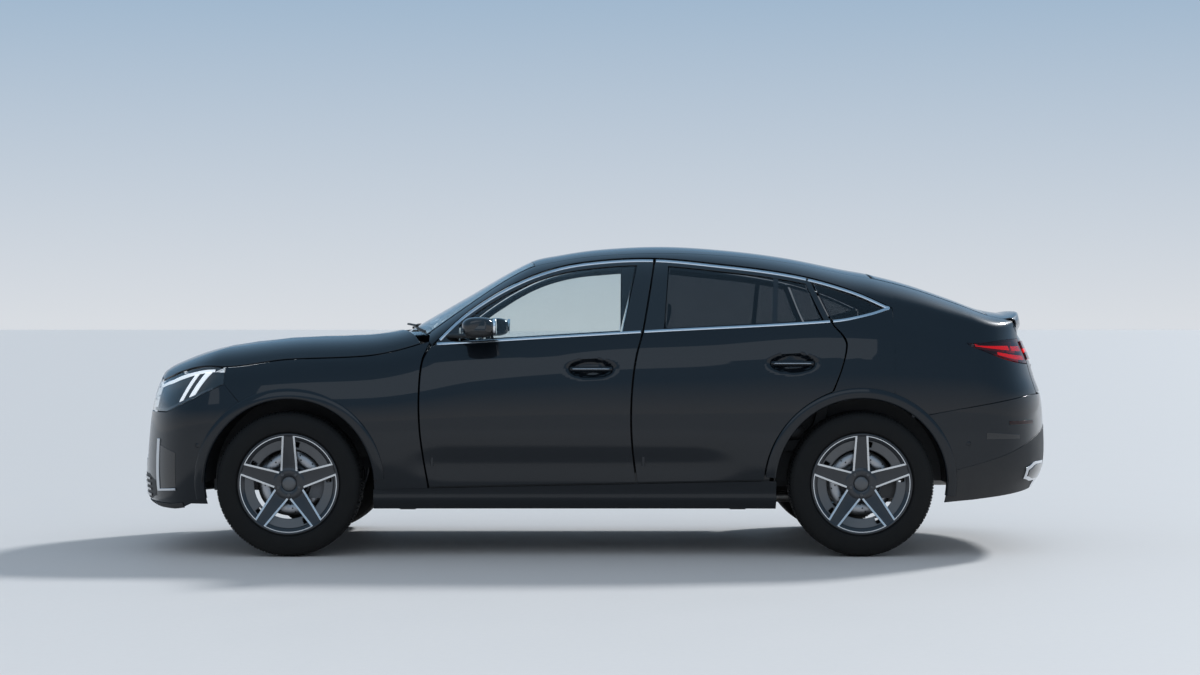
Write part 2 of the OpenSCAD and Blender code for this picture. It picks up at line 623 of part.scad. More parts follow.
module door_rear() {
  xs = [for (k = [0:10]) lerp(b_x, ra_x - 140, k / 10)];
  xa = xs[0];
  xb = xs[10];
  difference() {
    side_panel(xs, 12, function(x) door_low(x), function(x) belt(x) - 1,
      function(x, z) let (u = (x - xa) / (xb - xa))
        x + (1 - u) * (b_cut(z) + door_gap / 2 - xa) + u * (rear_cut(z) - door_gap / 2 - xb),
      function(x, z) side(x, z), door_t, 3);
    for (z = [hinge_low_z, hinge_high_z]) door_notch(rear_hinge_x, rear_hinge_y, z);
  }
  for (z = [hinge_low_z, hinge_high_z]) door_pin(rear_hinge_x, rear_hinge_y, z);
  handle(ra_x - 348, 975);
  x0 = b_x + 132;
  x1 = ra_x - 262;
  z0 = win_top(x0) - 7;
  z1 = win_top(x1) - 7;
  zb0 = belt(b_x) - 14;
  zb1 = belt(ra_x - 160) - 14;
  o = concat([for (k = [0:3]) let (z = lerp(zb0, z0, k / 4)) [b_cut(z) + door_gap / 2, z]],
    [for (k = [0:9]) let (x = lerp(x0, x1, k / 9)) [x, win_top(x) - 7]],
    [for (k = [1:4]) let (z = lerp(z1, zb1, k / 4)) [rear_cut(z) - door_gap / 2, z]]);
  zi0 = win_top(b_x + 196) - 7 - frame_w;
  zi1 = win_top(ra_x - 292) - 7 - frame_w;
  i = concat([for (k = [0:3]) let (z = lerp(zb0, zi0, k / 4)) [rear_pane_front(z), z]],
    [for (k = [0:9]) let (x = lerp(rear_pane_front(zi0), rear_pane_rear(zi1), k / 9)) [x, win_top(x) - 7 - frame_w]],
    [for (k = [1:4]) let (z = lerp(zi1, zb1, k / 4)) [rear_pane_rear(z), z]]);
  frame(o, i);
}
module door_front_left() {
  color(paint) door_front();
}
module door_front_right() {
  color(paint) flip() door_front();
}
module door_rear_left() {
  color(paint) door_rear();
}
module door_rear_right() {
  color(paint) flip() door_rear();
}

module glass_front() {
  xs = [for (k = [0:8]) lerp(sail_x + 1, b_x - 2, k / 8)];
  xa = xs[0];
  xb = xs[8];
  side_panel(xs, 4, function(x) belt(x) - 1.5, function(x) win_top(x) - 9.5 - frame_w,
    function(x, z) x + (x - xa) / (xb - xa) * (front_pane_rear(z) - 2.5 - xb),
    function(x, z) upper(x, z) - 14, glass_t);
}
module glass_rear() {
  xs = [for (k = [0:8]) lerp(b_x + 180, ra_x - 200, k / 8)];
  xa = xs[0];
  xb = xs[8];
  side_panel(xs, 4, function(x) belt(x) - 1.5, function(x) win_top(x) - 9.5 - frame_w,
    function(x, z) let (u = (x - xa) / (xb - xa))
      x + (1 - u) * (rear_pane_front(z) + 2.5 - xa) + u * (rear_pane_rear(z) - 12 - xb),
    function(x, z) upper(x, z) - 14, glass_t);
}
module glass_front_left() {
  color("#8fa3ad", 0.4) glass_front();
}
module glass_front_right() {
  color("#8fa3ad", 0.4) flip() glass_front();
}
module glass_rear_left() {
  color("#33383d", 0.6) glass_rear();
}
module glass_rear_right() {
  color("#33383d", 0.6) flip() glass_rear();
}

mirror_y = half_w + 98;
module mirror_body() {
  x = fa_x + 964;
  z = belt_front_z + 93;
  across(-mirror_y, -mirror_y + 170) polygon([[x - 91, z - 8], [x - 78, z + 36], [x - 20, z + 54], [x + 80, z + 50],
    [x + 91, z + 24], [x + 88, z - 40], [x + 60, z - 54], [x - 40, z - 50]]);
  y = upper(fa_x + 785, z - 54) - 2.2;
  w = upper(fa_x + 845, z - 54) - 5.6;
  translate([0, 0, z - 54]) linear_extrude(24) polygon([[fa_x + 785, -y], [fa_x + 845, -w],
    [x - 10, -mirror_y + 175], [x - 10, -mirror_y + 100], [x - 70, -mirror_y + 100], [x - 80, -mirror_y + 165]]);
}
module mirror_left() {
  color(paint) mirror_body();
}
module mirror_right() {
  color(paint) flip() mirror_body();
}

// rear quarter, rails and roof

quarter_xs = concat([ra_x - 138, ra_x - 110, ra_x - 70, ra_x - 20, ra_x + 50, ra_x + 110, tip_x, ra_x + 215, ra_x + 256],
  [ra_x + 300, ra_x + 352, ra_x + 420, ra_x + 480, ra_x + 530, ra_x + 600, ra_x + 680, ra_x + 760]);
function quarter_low(x) =
  x < ra_x + 256 ? wheel_z + sqrt(pos(rear_arch_r ^ 2 - (x - ra_x) ^ 2))
  : bumper_top(x) + seam;
function quarter_high(x) =
  (x < tip_x ? belt(x) : x < ra_x + 530 ? shoulder(x) : curve(tail_lamp_pts, x)) - seat_gap;
module quarter() {
  xa = quarter_xs[0];
  side_panel(quarter_xs, 10, function(x) quarter_low(x), function(x) quarter_high(x),
    function(x, z) x + pos(1 - (x - xa) / 330) * (rear_cut(z) + door_gap / 2 - xa),
    function(x, z) side(x, z), panel_t);
}
module quarter_left() {
  color(paint) quarter();
}
module quarter_right() {
  color(paint) flip() quarter();
}

// strip from the side windows up to the roof edge
rail_t = 48;
rail_xs = concat([for (k = [0:8]) lerp(fa_x + 700, header_x - 60, k / 8)],
  [for (k = [0:6]) lerp(header_x, gate_x - 60, k / 6)], [gate_x, tip_x, ra_x + 215, ra_x + 256, ra_x + 300,
  ra_x + 352, ra_x + 420, ra_x + 480, ra_x + 530, ra_x + 600, ra_x + 680, ra_x + 760]);
function rail_edge(x) = edge_y(x) + (x < peak_x + 150 ? 2.6 : seat_gap);
function rail_low(x) = shoulder(x) + (x <= tip_x || x > ra_x + 530 ? 6 : 0.3);
function rail_pt(x, v) =
  let (z0 = min(rail_low(x), roof_at(x, edge_y(x)) - 12), y1 = rail_edge(x), z = lerp(z0, roof_at(x, y1), 0.6),
       y = upper(x, z), ym = lerp(y, y1, 0.5))
  v == 0 ? [upper(x, z0), z0] : v == 1 ? [y, z] : v == 2 ? [ym, roof_at(x, ym)] : [y1, roof_at(x, y1)];
module rail() {
  outer = [for (x = rail_xs) [for (v = [0:3]) let (p = rail_pt(x, v)) [x, -p[0], p[1]]]];
  inner = [for (x = rail_xs) [for (v = [0:3])
    let (p = rail_pt(x, v), w = v / 3)
    [x, -max(p[0] - rail_t * (1 - w), rail_edge(x)), max(p[1] - lerp(0, 30, w), rail_pt(x, 0)[1] + 2 * w)]]];
  shell(outer, inner);
}
module rail_left() {
  color(paint) rail();
}
module rail_right() {
  color(paint) flip() rail();
}

module sheet(xa, xb, cols, rows, t, gap) {
  e = [for (k = [-cols:cols]) k / cols];
  function at(a, v) =
    let (x = lerp(xa(a), xb(a), v), y = a * (edge_y(x) - gap)) [x, y, roof_at(x, y)];
  outer = [for (a = e) [for (j = [0:rows]) at(a, j / rows)]];
  inner = [for (r = outer) [for (p = r) p - [0, 0, t]]];
  shell(outer, inner);
}
function header_line(e) = header_x + 40 * e ^ 2;
module roof() {
  color(paint) {
    sheet(function(e) header_line(e) + seat_gap, function(e) gate_x - gate_gap, 6, 10, roof_t, 0);
    for (s = [-1, 1]) gate_eye(s);
  }
}
gate_hx = gate_x - gate_gap / 2;
gate_hy = 170;
gate_hz = roof_line(gate_hx) - 8;
gate_pin_r = pin_r - 1.5;
module gate_eye(s) {
  difference() {
    union() {
      bar_y(gate_hx, gate_hz, s * gate_hy - 8, s * gate_hy + 8, gate_pin_r + 2.5);
      box([gate_hx - 60, s * gate_hy - 8, gate_hz - 24], [gate_hx + 2, s * gate_hy + 8, gate_hz - 2]);
      box([gate_hx - 60, s * gate_hy - 8, gate_hz - 24], [gate_hx - 30, s * gate_hy + 8, gate_hz]);
    }
    bar_y(gate_hx, gate_hz, s * gate_hy - 20, s * gate_hy + 20, gate_pin_r + play);
  }
}
module windscreen() {
  color("#8fa3ad", 0.4) sheet(function(e) cowl_line(e), function(e) header_line(e), 6, 7, glass_t + 1, seam);
}

module quarter_glass() {
  xs = [ra_x - 205, ra_x - 150, ra_x - 90, ra_x - 30, ra_x + 40, ra_x + 100];
  xa = xs[0];
  color("#33383d", 0.6) both() side_panel(xs, 2,
    function(x) belt(x) + seat_gap, function(x) win_top(x) - 4,
    function(x, z) x + pos(1 - (x - xa) / 200) * (rear_cut(z) + door_gap / 2 - xa),
    function(x, z) upper(x, z) - 8, glass_t);
}

// nose

module front_bumper() {
  ts = [0, 8, 16, 24, 29, 34, 40, 47, 54, 62, 70];
  function low(t) = t < 60 ? 236 : lerp(236, 262, (t - 60) / 30);
  function high(t) = t < 33 ? 470 : t < 37 ? 700 : lamp_low(nose_pt(t, 800)[0]) - seam;
  function arch(z) = fa_x - max(sqrt(pos(front_arch_r ^ 2 - (z - wheel_z) ^ 2)), front_arch_r / 2 + 3);
  rows = 7;
  fr = [for (t = ts) [for (j = [0:rows])
    let (z = lerp(low(t), high(t), j / rows), p = nose_pt(t, z)) [p[0], p[1], z]]];
  zs = function(x) x < nose_c + 28 ? lamp_low(x) - seam : fender_low(x) - seam;
  x1 = nose_pt(70, 800)[0];
  x2 = seam_x - 3;
  xs = [nose_pt(78, 800)[0], nose_pt(85, 800)[0], nose_c, nose_c + 27, (nose_c + seam_x) / 2, x2];
  bk = [for (x0 = xs) let (u = (x0 - x1) / (x2 - x1)) [for (j = [0:rows])
    let (z = lerp(lerp(low(70), 262, min(3 * u, 1)), zs(x0), j / rows), x = lerp(nose_pt(70, z)[0], arch(z), u))
    [x, side(x, z), z]]];
  half = concat(fr, bk);
  n = len(half) - 1;
  full = concat([for (i = [n:-1:1]) [for (p = half[i]) [p[0], -p[1], p[2]]]], half);
  inner = [for (i = [0:2 * n]) let (s = i < n ? 1 : -1) [for (p = full[i])
    let (w = min(abs(p[1]) / turn_y, 1)) [p[0] + 28 * (1 - w ^ 3), p[1] * (1 - 26 / 900 * min(w * 1.2, 1)), p[2]]]];
  color(paint) shell(full, inner);
}

module grille() {
  ts = [for (k = [-8:8]) k * 3.6];
  function gp(t, z, d) = let (p = nose_pt(abs(t), z)) [p[0] + d, sign(t) * p[1] * 0.985, z];
  function zt(t) = let (p = nose_pt(abs(t), 900)) min(top(hood_front(p[1]), min(p[1], hood_nose_y - 4)), 920) - 36;
  outer = [for (t = ts) [for (j = [0:8]) gp(t, lerp(470.7, zt(t), j / 8), 26)]];
  inner = [for (r = outer) [for (p = r) p + [22, 0, 0]]];
  color("#1b1c1e") shell(outer, inner);
  color("silver") for (k = [0:6]) {
    o = [for (t = ts) [for (j = [0, 1]) gp(t, lerp(500, zt(t) - 14, k / 6) - 7 + 14 * j, 6)]];
    n = [for (t = ts) [for (j = [0, 1]) gp(t, lerp(500, zt(t) - 14, k / 6) - 7 + 14 * j, 25.6)]];
    shell(o, n);
  }
}

module headlamps() {
  ts = [37, 42, 47, 54, 62, 70, 78, 85];
  function zt(x) = hood_side_z(max(x, nose_x + 150)) - lid_gap;
  fr = [for (t = ts) [for (j = [0:3])
    let (x0 = nose_pt(t, 800)[0], z = lerp(lamp_low(x0) - seam + 1.7, zt(nose_pt(t, 860)[0]), j / 3), p = nose_pt(t, z))
    [p[0], -p[1], z]]];
  bk = [for (x = [nose_c, nose_c + 26]) [for (j = [0:3])
    let (z = lerp(lamp_low(x) - seam + 1.7, zt(x), j / 3)) [x, -side(x, z), z]]];
  outer = concat(fr, bk);
  inner = [for (r = outer) [for (j = [0:3])
    let (p = r[j], w = min(-p[1] / (half_w - 138), 1)) [p[0] + 60 * (1 - w ^ 4), p[1] + 50 * w, p[2] - 12 * j]]];
  color("#2c3036") both() shell(outer, inner);
}

// tail

module rear_bumper() {
  ts = [0, 8, 16, 24, 32, 40, 48, 56, 64, 72, 80, 86];
  rows = 8;
  function arch(z) = ra_x + sqrt(pos(rear_arch_r ^ 2 - (z - wheel_z) ^ 2));
  function high(t) = let (x = tail_pt(t, 780)[0]) bumper_top(x);
  fr = [for (t = ts) [for (j = [0:rows])
    let (x0 = tail_pt(t, 600)[0], z = lerp(bumper_low(x0), high(t), j / rows), p = tail_pt(t, z)) [p[0], p[1], z]]];
  bk = [for (u = [0, 0.3, 0.65, 1]) [for (j = [0:rows])
    let (x0 = lerp(tail_c, ra_x + 256, u), z = lerp(bumper_low(lerp(tail_c, ra_x + 430, u)), bumper_top(x0), j / rows),
         x = lerp(tail_c, arch(z), u))
    [x, side(x, z), z]]];
  half = concat(fr, bk);
  n = len(half) - 1;
  full = concat([for (i = [n:-1:1]) [for (p = half[i]) [p[0], -p[1], p[2]]]], half);
  inner = [for (r = full) [for (p = r)
    let (w = min(abs(p[1]) / turn_y, 1)) [p[0] - 28 * (1 - w ^ 3), p[1] * (1 - 26 / 900 * min(w * 1.2, 1)), p[2]]]];
  color(paint) shell(full, inner);
}

module tail_lamps() {
  ts = [46, 50, 56, 62, 70, 78, 85];
  function low(x) = curve(tail_lamp_pts, x) + seat_gap;
  fr = [for (t = ts) [for (j = [0:3])
    let (x0 = tail_pt(t, 1040)[0], z = lerp(low(x0), shoulder(x0) - seat_gap, j / 3), p = tail_pt(t, z)) [p[0], -p[1], z]]];
  bk = [for (x = [tail_c, ra_x + 534]) [for (j = [0:3])
    let (z = lerp(low(x), shoulder(x) - seat_gap, j / 3)) [x, -side(x, z), z]]];
  outer = concat(fr, bk);
  inner = [for (r = outer) [for (p = r) let (w = min(-p[1] / (half_w - 138), 1)) [p[0] - 40 * (1 - w ^ 4), p[1] + 40 * w, p[2]]]];
  color("#5a0a0c") both() shell(outer, inner);
}

module tailgate() {
  e = [for (k = [-7:7]) k / 7];
  zs = [1190, 1150, 1105, 1098, 1040, 984, 978, 930, 880, split_z + 8];
  function lip(a) = rear_x(a * gate_y, 1192);
  function deck(a, v) =
    let (x = lerp(glass_end_x + seat_gap, lip(a), v), y = a * (edge_y(x) - lid_gap)) [x, y, roof_at(x, y)];
  function back(a, z) = let (y = a * (gate_y - 4)) [rear_x(y, z), y, z];
  outer = [for (a = e) concat([for (v = [0, 0.35, 0.7, 0.97]) deck(a, v)], [for (z = zs) back(a, z)])];
  inner = [for (a = e) concat(
    [for (v = [0, 0.35, 0.7, 0.97]) deck(a, v) - [40 * v, 0, 34]],
    [for (z = zs) back(a, z) - [44, 0, 34 * pos((z - 1090) / 100)]])];
  color(paint) {
    shell(outer, inner);
    for (s = [-1, 1]) gate_arm(s);
  }
}
module gate_arm(s) {
  xs = [for (k = [0:6]) lerp(gate_x + 4, glass_end_x + 30, k / 6)];
  y0 = s * (gate_hy + 12);
  y1 = s * (gate_hy + 42);
  outer = [for (x = xs) [for (y = [y0, y1]) [x, y, roof_at(x, gate_hy + 42) - 10]]];
  inner = [for (r = outer) [for (p = r) p - [0, 0, 20]]];
  shell(outer, inner);
  bar_y(gate_hx, gate_hz, min(s * (gate_hy - 10), s * (gate_hy + 30)), max(s * (gate_hy - 10), s * (gate_hy + 30)), gate_pin_r);
  ya = min(s * (gate_hy + 12), s * (gate_hy + 30));
  box([gate_hx - 4, ya, gate_hz - 30], [gate_hx + 4, ya + 18, gate_hz + 3]);
  box([gate_hx - 4, ya, gate_hz - 30], [gate_x + 20, ya + 18, gate_hz - 15]);
}
module tailgate_glass() {
  color("#33383d", 0.6) {
    e = [for (k = [-6:6]) k / 6];
    outer = [for (a = e) [for (j = [0:6])
      let (x = lerp(gate_x, glass_end_x, j / 6), y = a * (edge_y(x) - lid_gap)) [x, y, roof_at(x, y)]]];
    inner = [for (r = outer) [for (p = r) p - [0, 0, glass_t + 1]]];
    shell(outer, inner);
  }
}
module tailgate_lamps() {
  e = [for (k = [-8:8]) k / 8];
  outer = [for (a = e) [for (z = [988, 1020, 1060, 1092]) let (y = a * (gate_y - 10)) [rear_x(y, z) + 12, y, z]]];
  inner = [for (a = e) [for (z = [988, 1020, 1060, 1092]) let (y = a * (gate_y - 10)) [rear_x(y, z) + 3, y, z]]];
  color("#5a0a0c") shell(outer, inner);
}

// arches

module arch_trim(x, r, a0, a1, off) {
  as = [for (k = [0:22]) lerp(a0, a1, k / 22)];
  function at(a, q, d) =
    let (px = x + q * cos(a), pz = wheel_z + q * sin(a)) [px, -side(px, pz) - d, pz];
  outer = [for (a = as) [for (q = [r - 2, r + arch_trim_w]) at(a, q, 8)]];
  inner = [for (a = as) [for (q = [r - 2, r + arch_trim_w]) at(a, q, off)]];
  shell(outer, inner);
}
module arch_trims() {
  color(paint) both() {
    arch_trim(fa_x, front_arch_r, 3, 190, 1.8);
    arch_trim(ra_x, rear_arch_r, -8, 176, 1.2);
  }
}

module wheel_housings() {
  color("#141517") both() {
    translate([fa_x, 0, wheel_z]) rotate([90, 0, 0]) rotate(8) rotate_extrude(angle = 172)
      polygon([[front_arch_r + 6, frame_y + seat_gap], [front_arch_r + 6, half_w - 98],
        [front_arch_r + 10, half_w - 98], [front_arch_r + 10, frame_y + seat_gap]]);
    translate([ra_x, 0, wheel_z]) rotate([90, 0, 0]) rotate_extrude(angle = 180)
      polygon([[rear_arch_r + 6, load_y + seat_gap], [rear_arch_r + 6, half_w - 98],
        [rear_arch_r + 10, half_w - 98], [rear_arch_r + 10, load_y + seat_gap]]);
    translate([ra_x, -load_y - 1, wheel_z]) rotate([90, 0, 0]) rotate_extrude(angle = 180)
      polygon([[170, 0], [rear_arch_r + 7, 0], [rear_arch_r + 7, 6], [170, 6]]);
  }
}

// cabin

module dashboard() {
  color("#1d1e20") difference() {
    union() {
      across(-wall_y + 3, wall_y - 3) polygon([[fa_x + 636, 720], [fa_x + 900, 720], [fa_x + 960, 800], [fa_x + 950, 930],
        [fa_x + 900, 1010], [fa_x + 760, 1045], [fa_x + 636, 1030]]);
      translate(steer_c) rotate([0, -90 - steer_tilt, 0]) translate([0, 0, 60]) cylinder(r = 34, h = 160);
    }
    translate(steer_c) rotate([0, -90 - steer_tilt, 0]) translate([0, 0, -10]) cylinder(r = 12 + play, h = 200);
  }
}
steer_tilt = 24;
steer_c = [fa_x + 1040, -seat_y, 985];
module steering_wheel() {
  color("#151618") translate(steer_c) rotate([0, -90 - steer_tilt, 0]) {
    rotate_extrude() translate([steer_r, 0]) circle(r = 15, $fn = 24);
    cylinder(r = 62, h = 40);
    for (a = [0, 90, 180]) rotate([0, 0, a]) translate([0, -16, 4]) cube([steer_r - 4, 32, 16]);
    cylinder(r = 12, h = 170);
  }
}

module console() {
  color("#1d1e20") across(-console_w / 2, console_w / 2) polygon([[fa_x + 961, floor_z + 110.5], [ra_x - 950, floor_z + 110.5],
    [ra_x - 950, 640], [fa_x + 1300, 640], [fa_x + 1010, 720], [fa_x + 963, 720]]);
}

module seat() {
  color("#3b3d40") translate([0, -seat_y - seat_w / 2, 0]) {
    across(0, seat_w) polygon([[fa_x + 1150, 520], [fa_x + 1190, 505], [fa_x + 1640, 470], [fa_x + 1690, 480],
      [fa_x + 1930, 1050], [fa_x + 1910, 1120], [fa_x + 1850, 1125], [fa_x + 1810, 1090], [fa_x + 1640, 640],
      [fa_x + 1240, 660], [fa_x + 1160, 620]]);
    across(seat_w / 2 - 130, seat_w / 2 + 130) polygon([[fa_x + 1870, 1120.5], [fa_x + 1905, 1120.5], [fa_x + 1960, 1180],
      [fa_x + 1965, 1290], [fa_x + 1890, 1300], [fa_x + 1860, 1200]]);
    across(40, 70) polygon([[fa_x + 1240, floor_z + seat_gap], [fa_x + 1640, floor_z + seat_gap], [fa_x + 1600, 480],
      [fa_x + 1280, 510]]);
    across(seat_w - 70, seat_w - 40) polygon([[fa_x + 1240, floor_z + seat_gap], [fa_x + 1640, floor_z + seat_gap],
      [fa_x + 1600, 480], [fa_x + 1280, 510]]);
  }
}
module front_seats() {
  both() seat();
}
module rear_bench() {
  color("#3b3d40") {
    across(-load_y + 9, load_y - 9) polygon([[ra_x - 700, 560], [ra_x - 690, load_z + seat_gap], [ra_x - 190, load_z + seat_gap],
      [ra_x - 60, 1080], [ra_x - 120, 1110], [ra_x - 180, 1080], [ra_x - 280, 690], [ra_x - 660, 690], [ra_x - 705, 660]]);
    for (y = [-seat_y, 0, seat_y]) across(y - 120, y + 120) polygon([[ra_x - 150, 1085], [ra_x - 80, 1085], [ra_x - 60, 1210],
      [ra_x - 100, 1220], [ra_x - 150, 1200]]);
  }
}

// wheels

module rim() {
  rotate_extrude() polygon([[bead_r - 1, -92], [bead_r - 1, -100], [flange_r - 3, -102], [flange_r, -106],
    [flange_r - 4, -109], [bead_r - 8, -108], [224, -97], [216, -76], [216, 60], [224, 94], [bead_r - 6, 109],
    [flange_r - 2, 109], [flange_r, 104], [bead_r - 1, 100], [bead_r - 1, 92], [226, 50], [226, -60]]);
  difference() {
    union() {
      translate([0, 0, -66]) cylinder(r = 78, h = 30);
      for (k = [0:4]) rotate([0, 0, -90 + 72 * k]) translate([0, 0, -86]) linear_extrude(34)
        polygon([[20, -spoke_root_w / 2], [222, -spoke_w / 2], [222, spoke_w / 2], [20, spoke_root_w / 2]]);
    }
    translate([0, 0, -58]) cylinder(r = spindle_r + play, h = 30);
  }
}
module disc() {
  difference() {
    union() {
      translate([0, 0, -20]) cylinder(r = disc_r, h = 24);
      translate([0, 0, -35.5]) cylinder(r = 76, h = 20);
    }
    translate([0, 0, -60]) cylinder(r = spindle_r + play, h = 90);
  }
}
// wheel laid in its place, outer face to the left
module at_wheel(x) {
  translate([x, -wheel_y, wheel_z]) rotate([-90, 0, 0]) children();
}
module wheel(x) {
  color("#3a3d42") at_wheel(x) rim();
  color("#8a8c8e") at_wheel(x) disc();
}
module tyre(x) {
  h = tyre_w / 2;
  color("#141414") at_wheel(x) rotate_extrude() polygon([[bead_r, -98], [flange_r - 2, -100.5], [flange_r + 1.5, -106],
    [flange_r + 8, -112], [300, -h], [325, -h + 2], [tyre_r - 20, -h + 12], [tyre_r - 5, -h + 26], [tyre_r, -h + 46], [tyre_r, h - 46],
    [tyre_r - 5, h - 26], [tyre_r - 20, h - 12], [325, h - 2], [300, h], [flange_r + 8, 112], [flange_r + 1.5, 106], [flange_r - 2, 100.5], [bead_r, 98],
    [bead_r + 14, 86], [300, 100], [340, 90], [340, -90], [300, -100], [bead_r + 14, -86]]);
}
module wheel_front_left() {
  wheel(fa_x);
}
module wheel_front_right() {
  flip() wheel(fa_x);
}
module wheel_rear_left() {
  wheel(ra_x);
}
module wheel_rear_right() {
  flip() wheel(ra_x);
}
module tyre_front_left() {
  tyre(fa_x);
}
module tyre_front_right() {
  flip() tyre(fa_x);
}
module tyre_rear_left() {
  tyre(ra_x);
}
module tyre_rear_right() {
  flip() tyre(ra_x);
}

floor_pan();
sills();
firewall();
cowl();
front_frame();
radiator();
engine();
front_subframe();
rear_axle();
fuel_tank();
exhaust();
hinge_pillars();
b_pillars();
fender_left();
fender_right();
quarter_left();
quarter_right();
rail_left();
rail_right();
roof();
windscreen();
quarter_glass();
front_bumper();
grille();
headlamps();
rear_bumper();
tail_lamps();
arch_trims();
wheel_housings();
dashboard();
console();
front_seats();
rear_bench();
bonnet();
tailgate();
tailgate_glass();
tailgate_lamps();
door_front_left();
door_front_right();
door_rear_left();
door_rear_right();
glass_front_left();
glass_front_right();
glass_rear_left();
glass_rear_right();
mirror_left();
mirror_right();
knuckle_left();
knuckle_right();
steering_wheel();
wheel_front_left();
wheel_front_right();
wheel_rear_left();
wheel_rear_right();
tyre_front_left();
tyre_front_right();
tyre_rear_left();
tyre_rear_right();
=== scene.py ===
import bpy
import bmesh
import math
import numpy as np
from mathutils import Matrix, Vector


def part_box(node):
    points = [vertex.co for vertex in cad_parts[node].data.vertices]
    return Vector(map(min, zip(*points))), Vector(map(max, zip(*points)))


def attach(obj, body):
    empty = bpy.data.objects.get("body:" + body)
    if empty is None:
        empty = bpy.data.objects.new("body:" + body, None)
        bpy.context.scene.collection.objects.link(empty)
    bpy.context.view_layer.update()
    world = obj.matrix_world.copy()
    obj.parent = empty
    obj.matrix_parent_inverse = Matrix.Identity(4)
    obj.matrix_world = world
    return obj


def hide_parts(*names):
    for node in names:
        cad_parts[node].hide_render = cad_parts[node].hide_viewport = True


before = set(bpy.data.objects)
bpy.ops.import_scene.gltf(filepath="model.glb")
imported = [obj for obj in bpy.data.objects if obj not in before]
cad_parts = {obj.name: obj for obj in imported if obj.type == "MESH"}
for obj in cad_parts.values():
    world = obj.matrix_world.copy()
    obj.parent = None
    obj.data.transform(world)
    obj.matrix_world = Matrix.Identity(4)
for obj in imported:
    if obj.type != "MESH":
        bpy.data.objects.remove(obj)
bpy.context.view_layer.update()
scene = bpy.context.scene
scene.view_settings.view_transform = "Standard"
mm = 0.001

# body shape, in mm, the same values as the part's source
bodyShape = {
    "length": 4763.0, "wheelbase": 2888.0, "frontOverhang": 840.0, "bodyWidth": 1876.0, "roofTop": 1589.0,
    "waist": 640.0, "sill": 242.0, "beltFront": 1063.0, "beltRear": 1180.0, "hood": 1104.0, "cowl": 1131.0,
    "tuck": 0.065, "lean": 0.40, "ledge": 12.0, "doorLowFront": 352.0, "doorLowRear": 388.0,
    "frontArch": 430.0, "rearArch": 433.0, "archTrim": 52.0, "doorGap": 9.0, "lidGap": 7.0, "gateGap": 18.0,
    "tyreRadius": 367.0, "track": 1630.0, "gateHalf": 600.0, "roundPower": 9.0, "seam": 3.0, "split": 815.0,
    "endPower": 2.4, "crownPower": 2.6, "crownRound": 5.5, "leanCurve": 0.00035, "dropHalf": 600.0,
}
b = bodyShape
noseX = -b["length"] / 2
tailX = b["length"] / 2
frontAxle = noseX + b["frontOverhang"]
rearAxle = frontAxle + b["wheelbase"]
wheelZ = b["tyreRadius"]
wheelY = b["track"] / 2
noseCorner = frontAxle - 360
tailCorner = rearAxle + 560
cowlX = frontAxle + 501
headerX = frontAxle + 1192
peakX = frontAxle + 1895
pillarX = frontAxle + 1726
lipX = tailX - 125
gateX = rearAxle + 105
glassEnd = rearAxle + 681
tipX = rearAxle + 167
tipZ = b["beltRear"] + 74
bodySides = (("left", -1), ("right", 1))


def lerp(a, c, t):
    return a + (c - a) * t


def ease(v, a, c):
    t = np.clip((np.asarray(v, float) - a) / (c - a), 0, 1)
    return t * t * (3 - 2 * t)


def bump(v, centre, width):
    return np.exp(-((np.asarray(v, float) - centre) / width) ** 2)


def curve(points, x):  # smooth curve through [position, value] points
    p = np.array(points, float)
    px, py = p[:, 0], p[:, 1]
    slope = np.empty(len(px))
    slope[1:-1] = (py[2:] - py[:-2]) / (px[2:] - px[:-2])
    slope[0] = (py[1] - py[0]) / (px[1] - px[0])
    slope[-1] = (py[-1] - py[-2]) / (px[-1] - px[-2])
    x = np.asarray(x, float)
    i = np.clip(np.searchsorted(px, x, side="right") - 1, 0, len(px) - 2)
    h = px[i + 1] - px[i]
    t = np.clip((x - px[i]) / h, 0, 1)
    return ((2 * t ** 3 - 3 * t ** 2 + 1) * py[i] + (t ** 3 - 2 * t ** 2 + t) * h * slope[i]
            + (3 * t ** 2 - 2 * t ** 3) * py[i + 1] + (t ** 3 - t ** 2) * h * slope[i + 1])


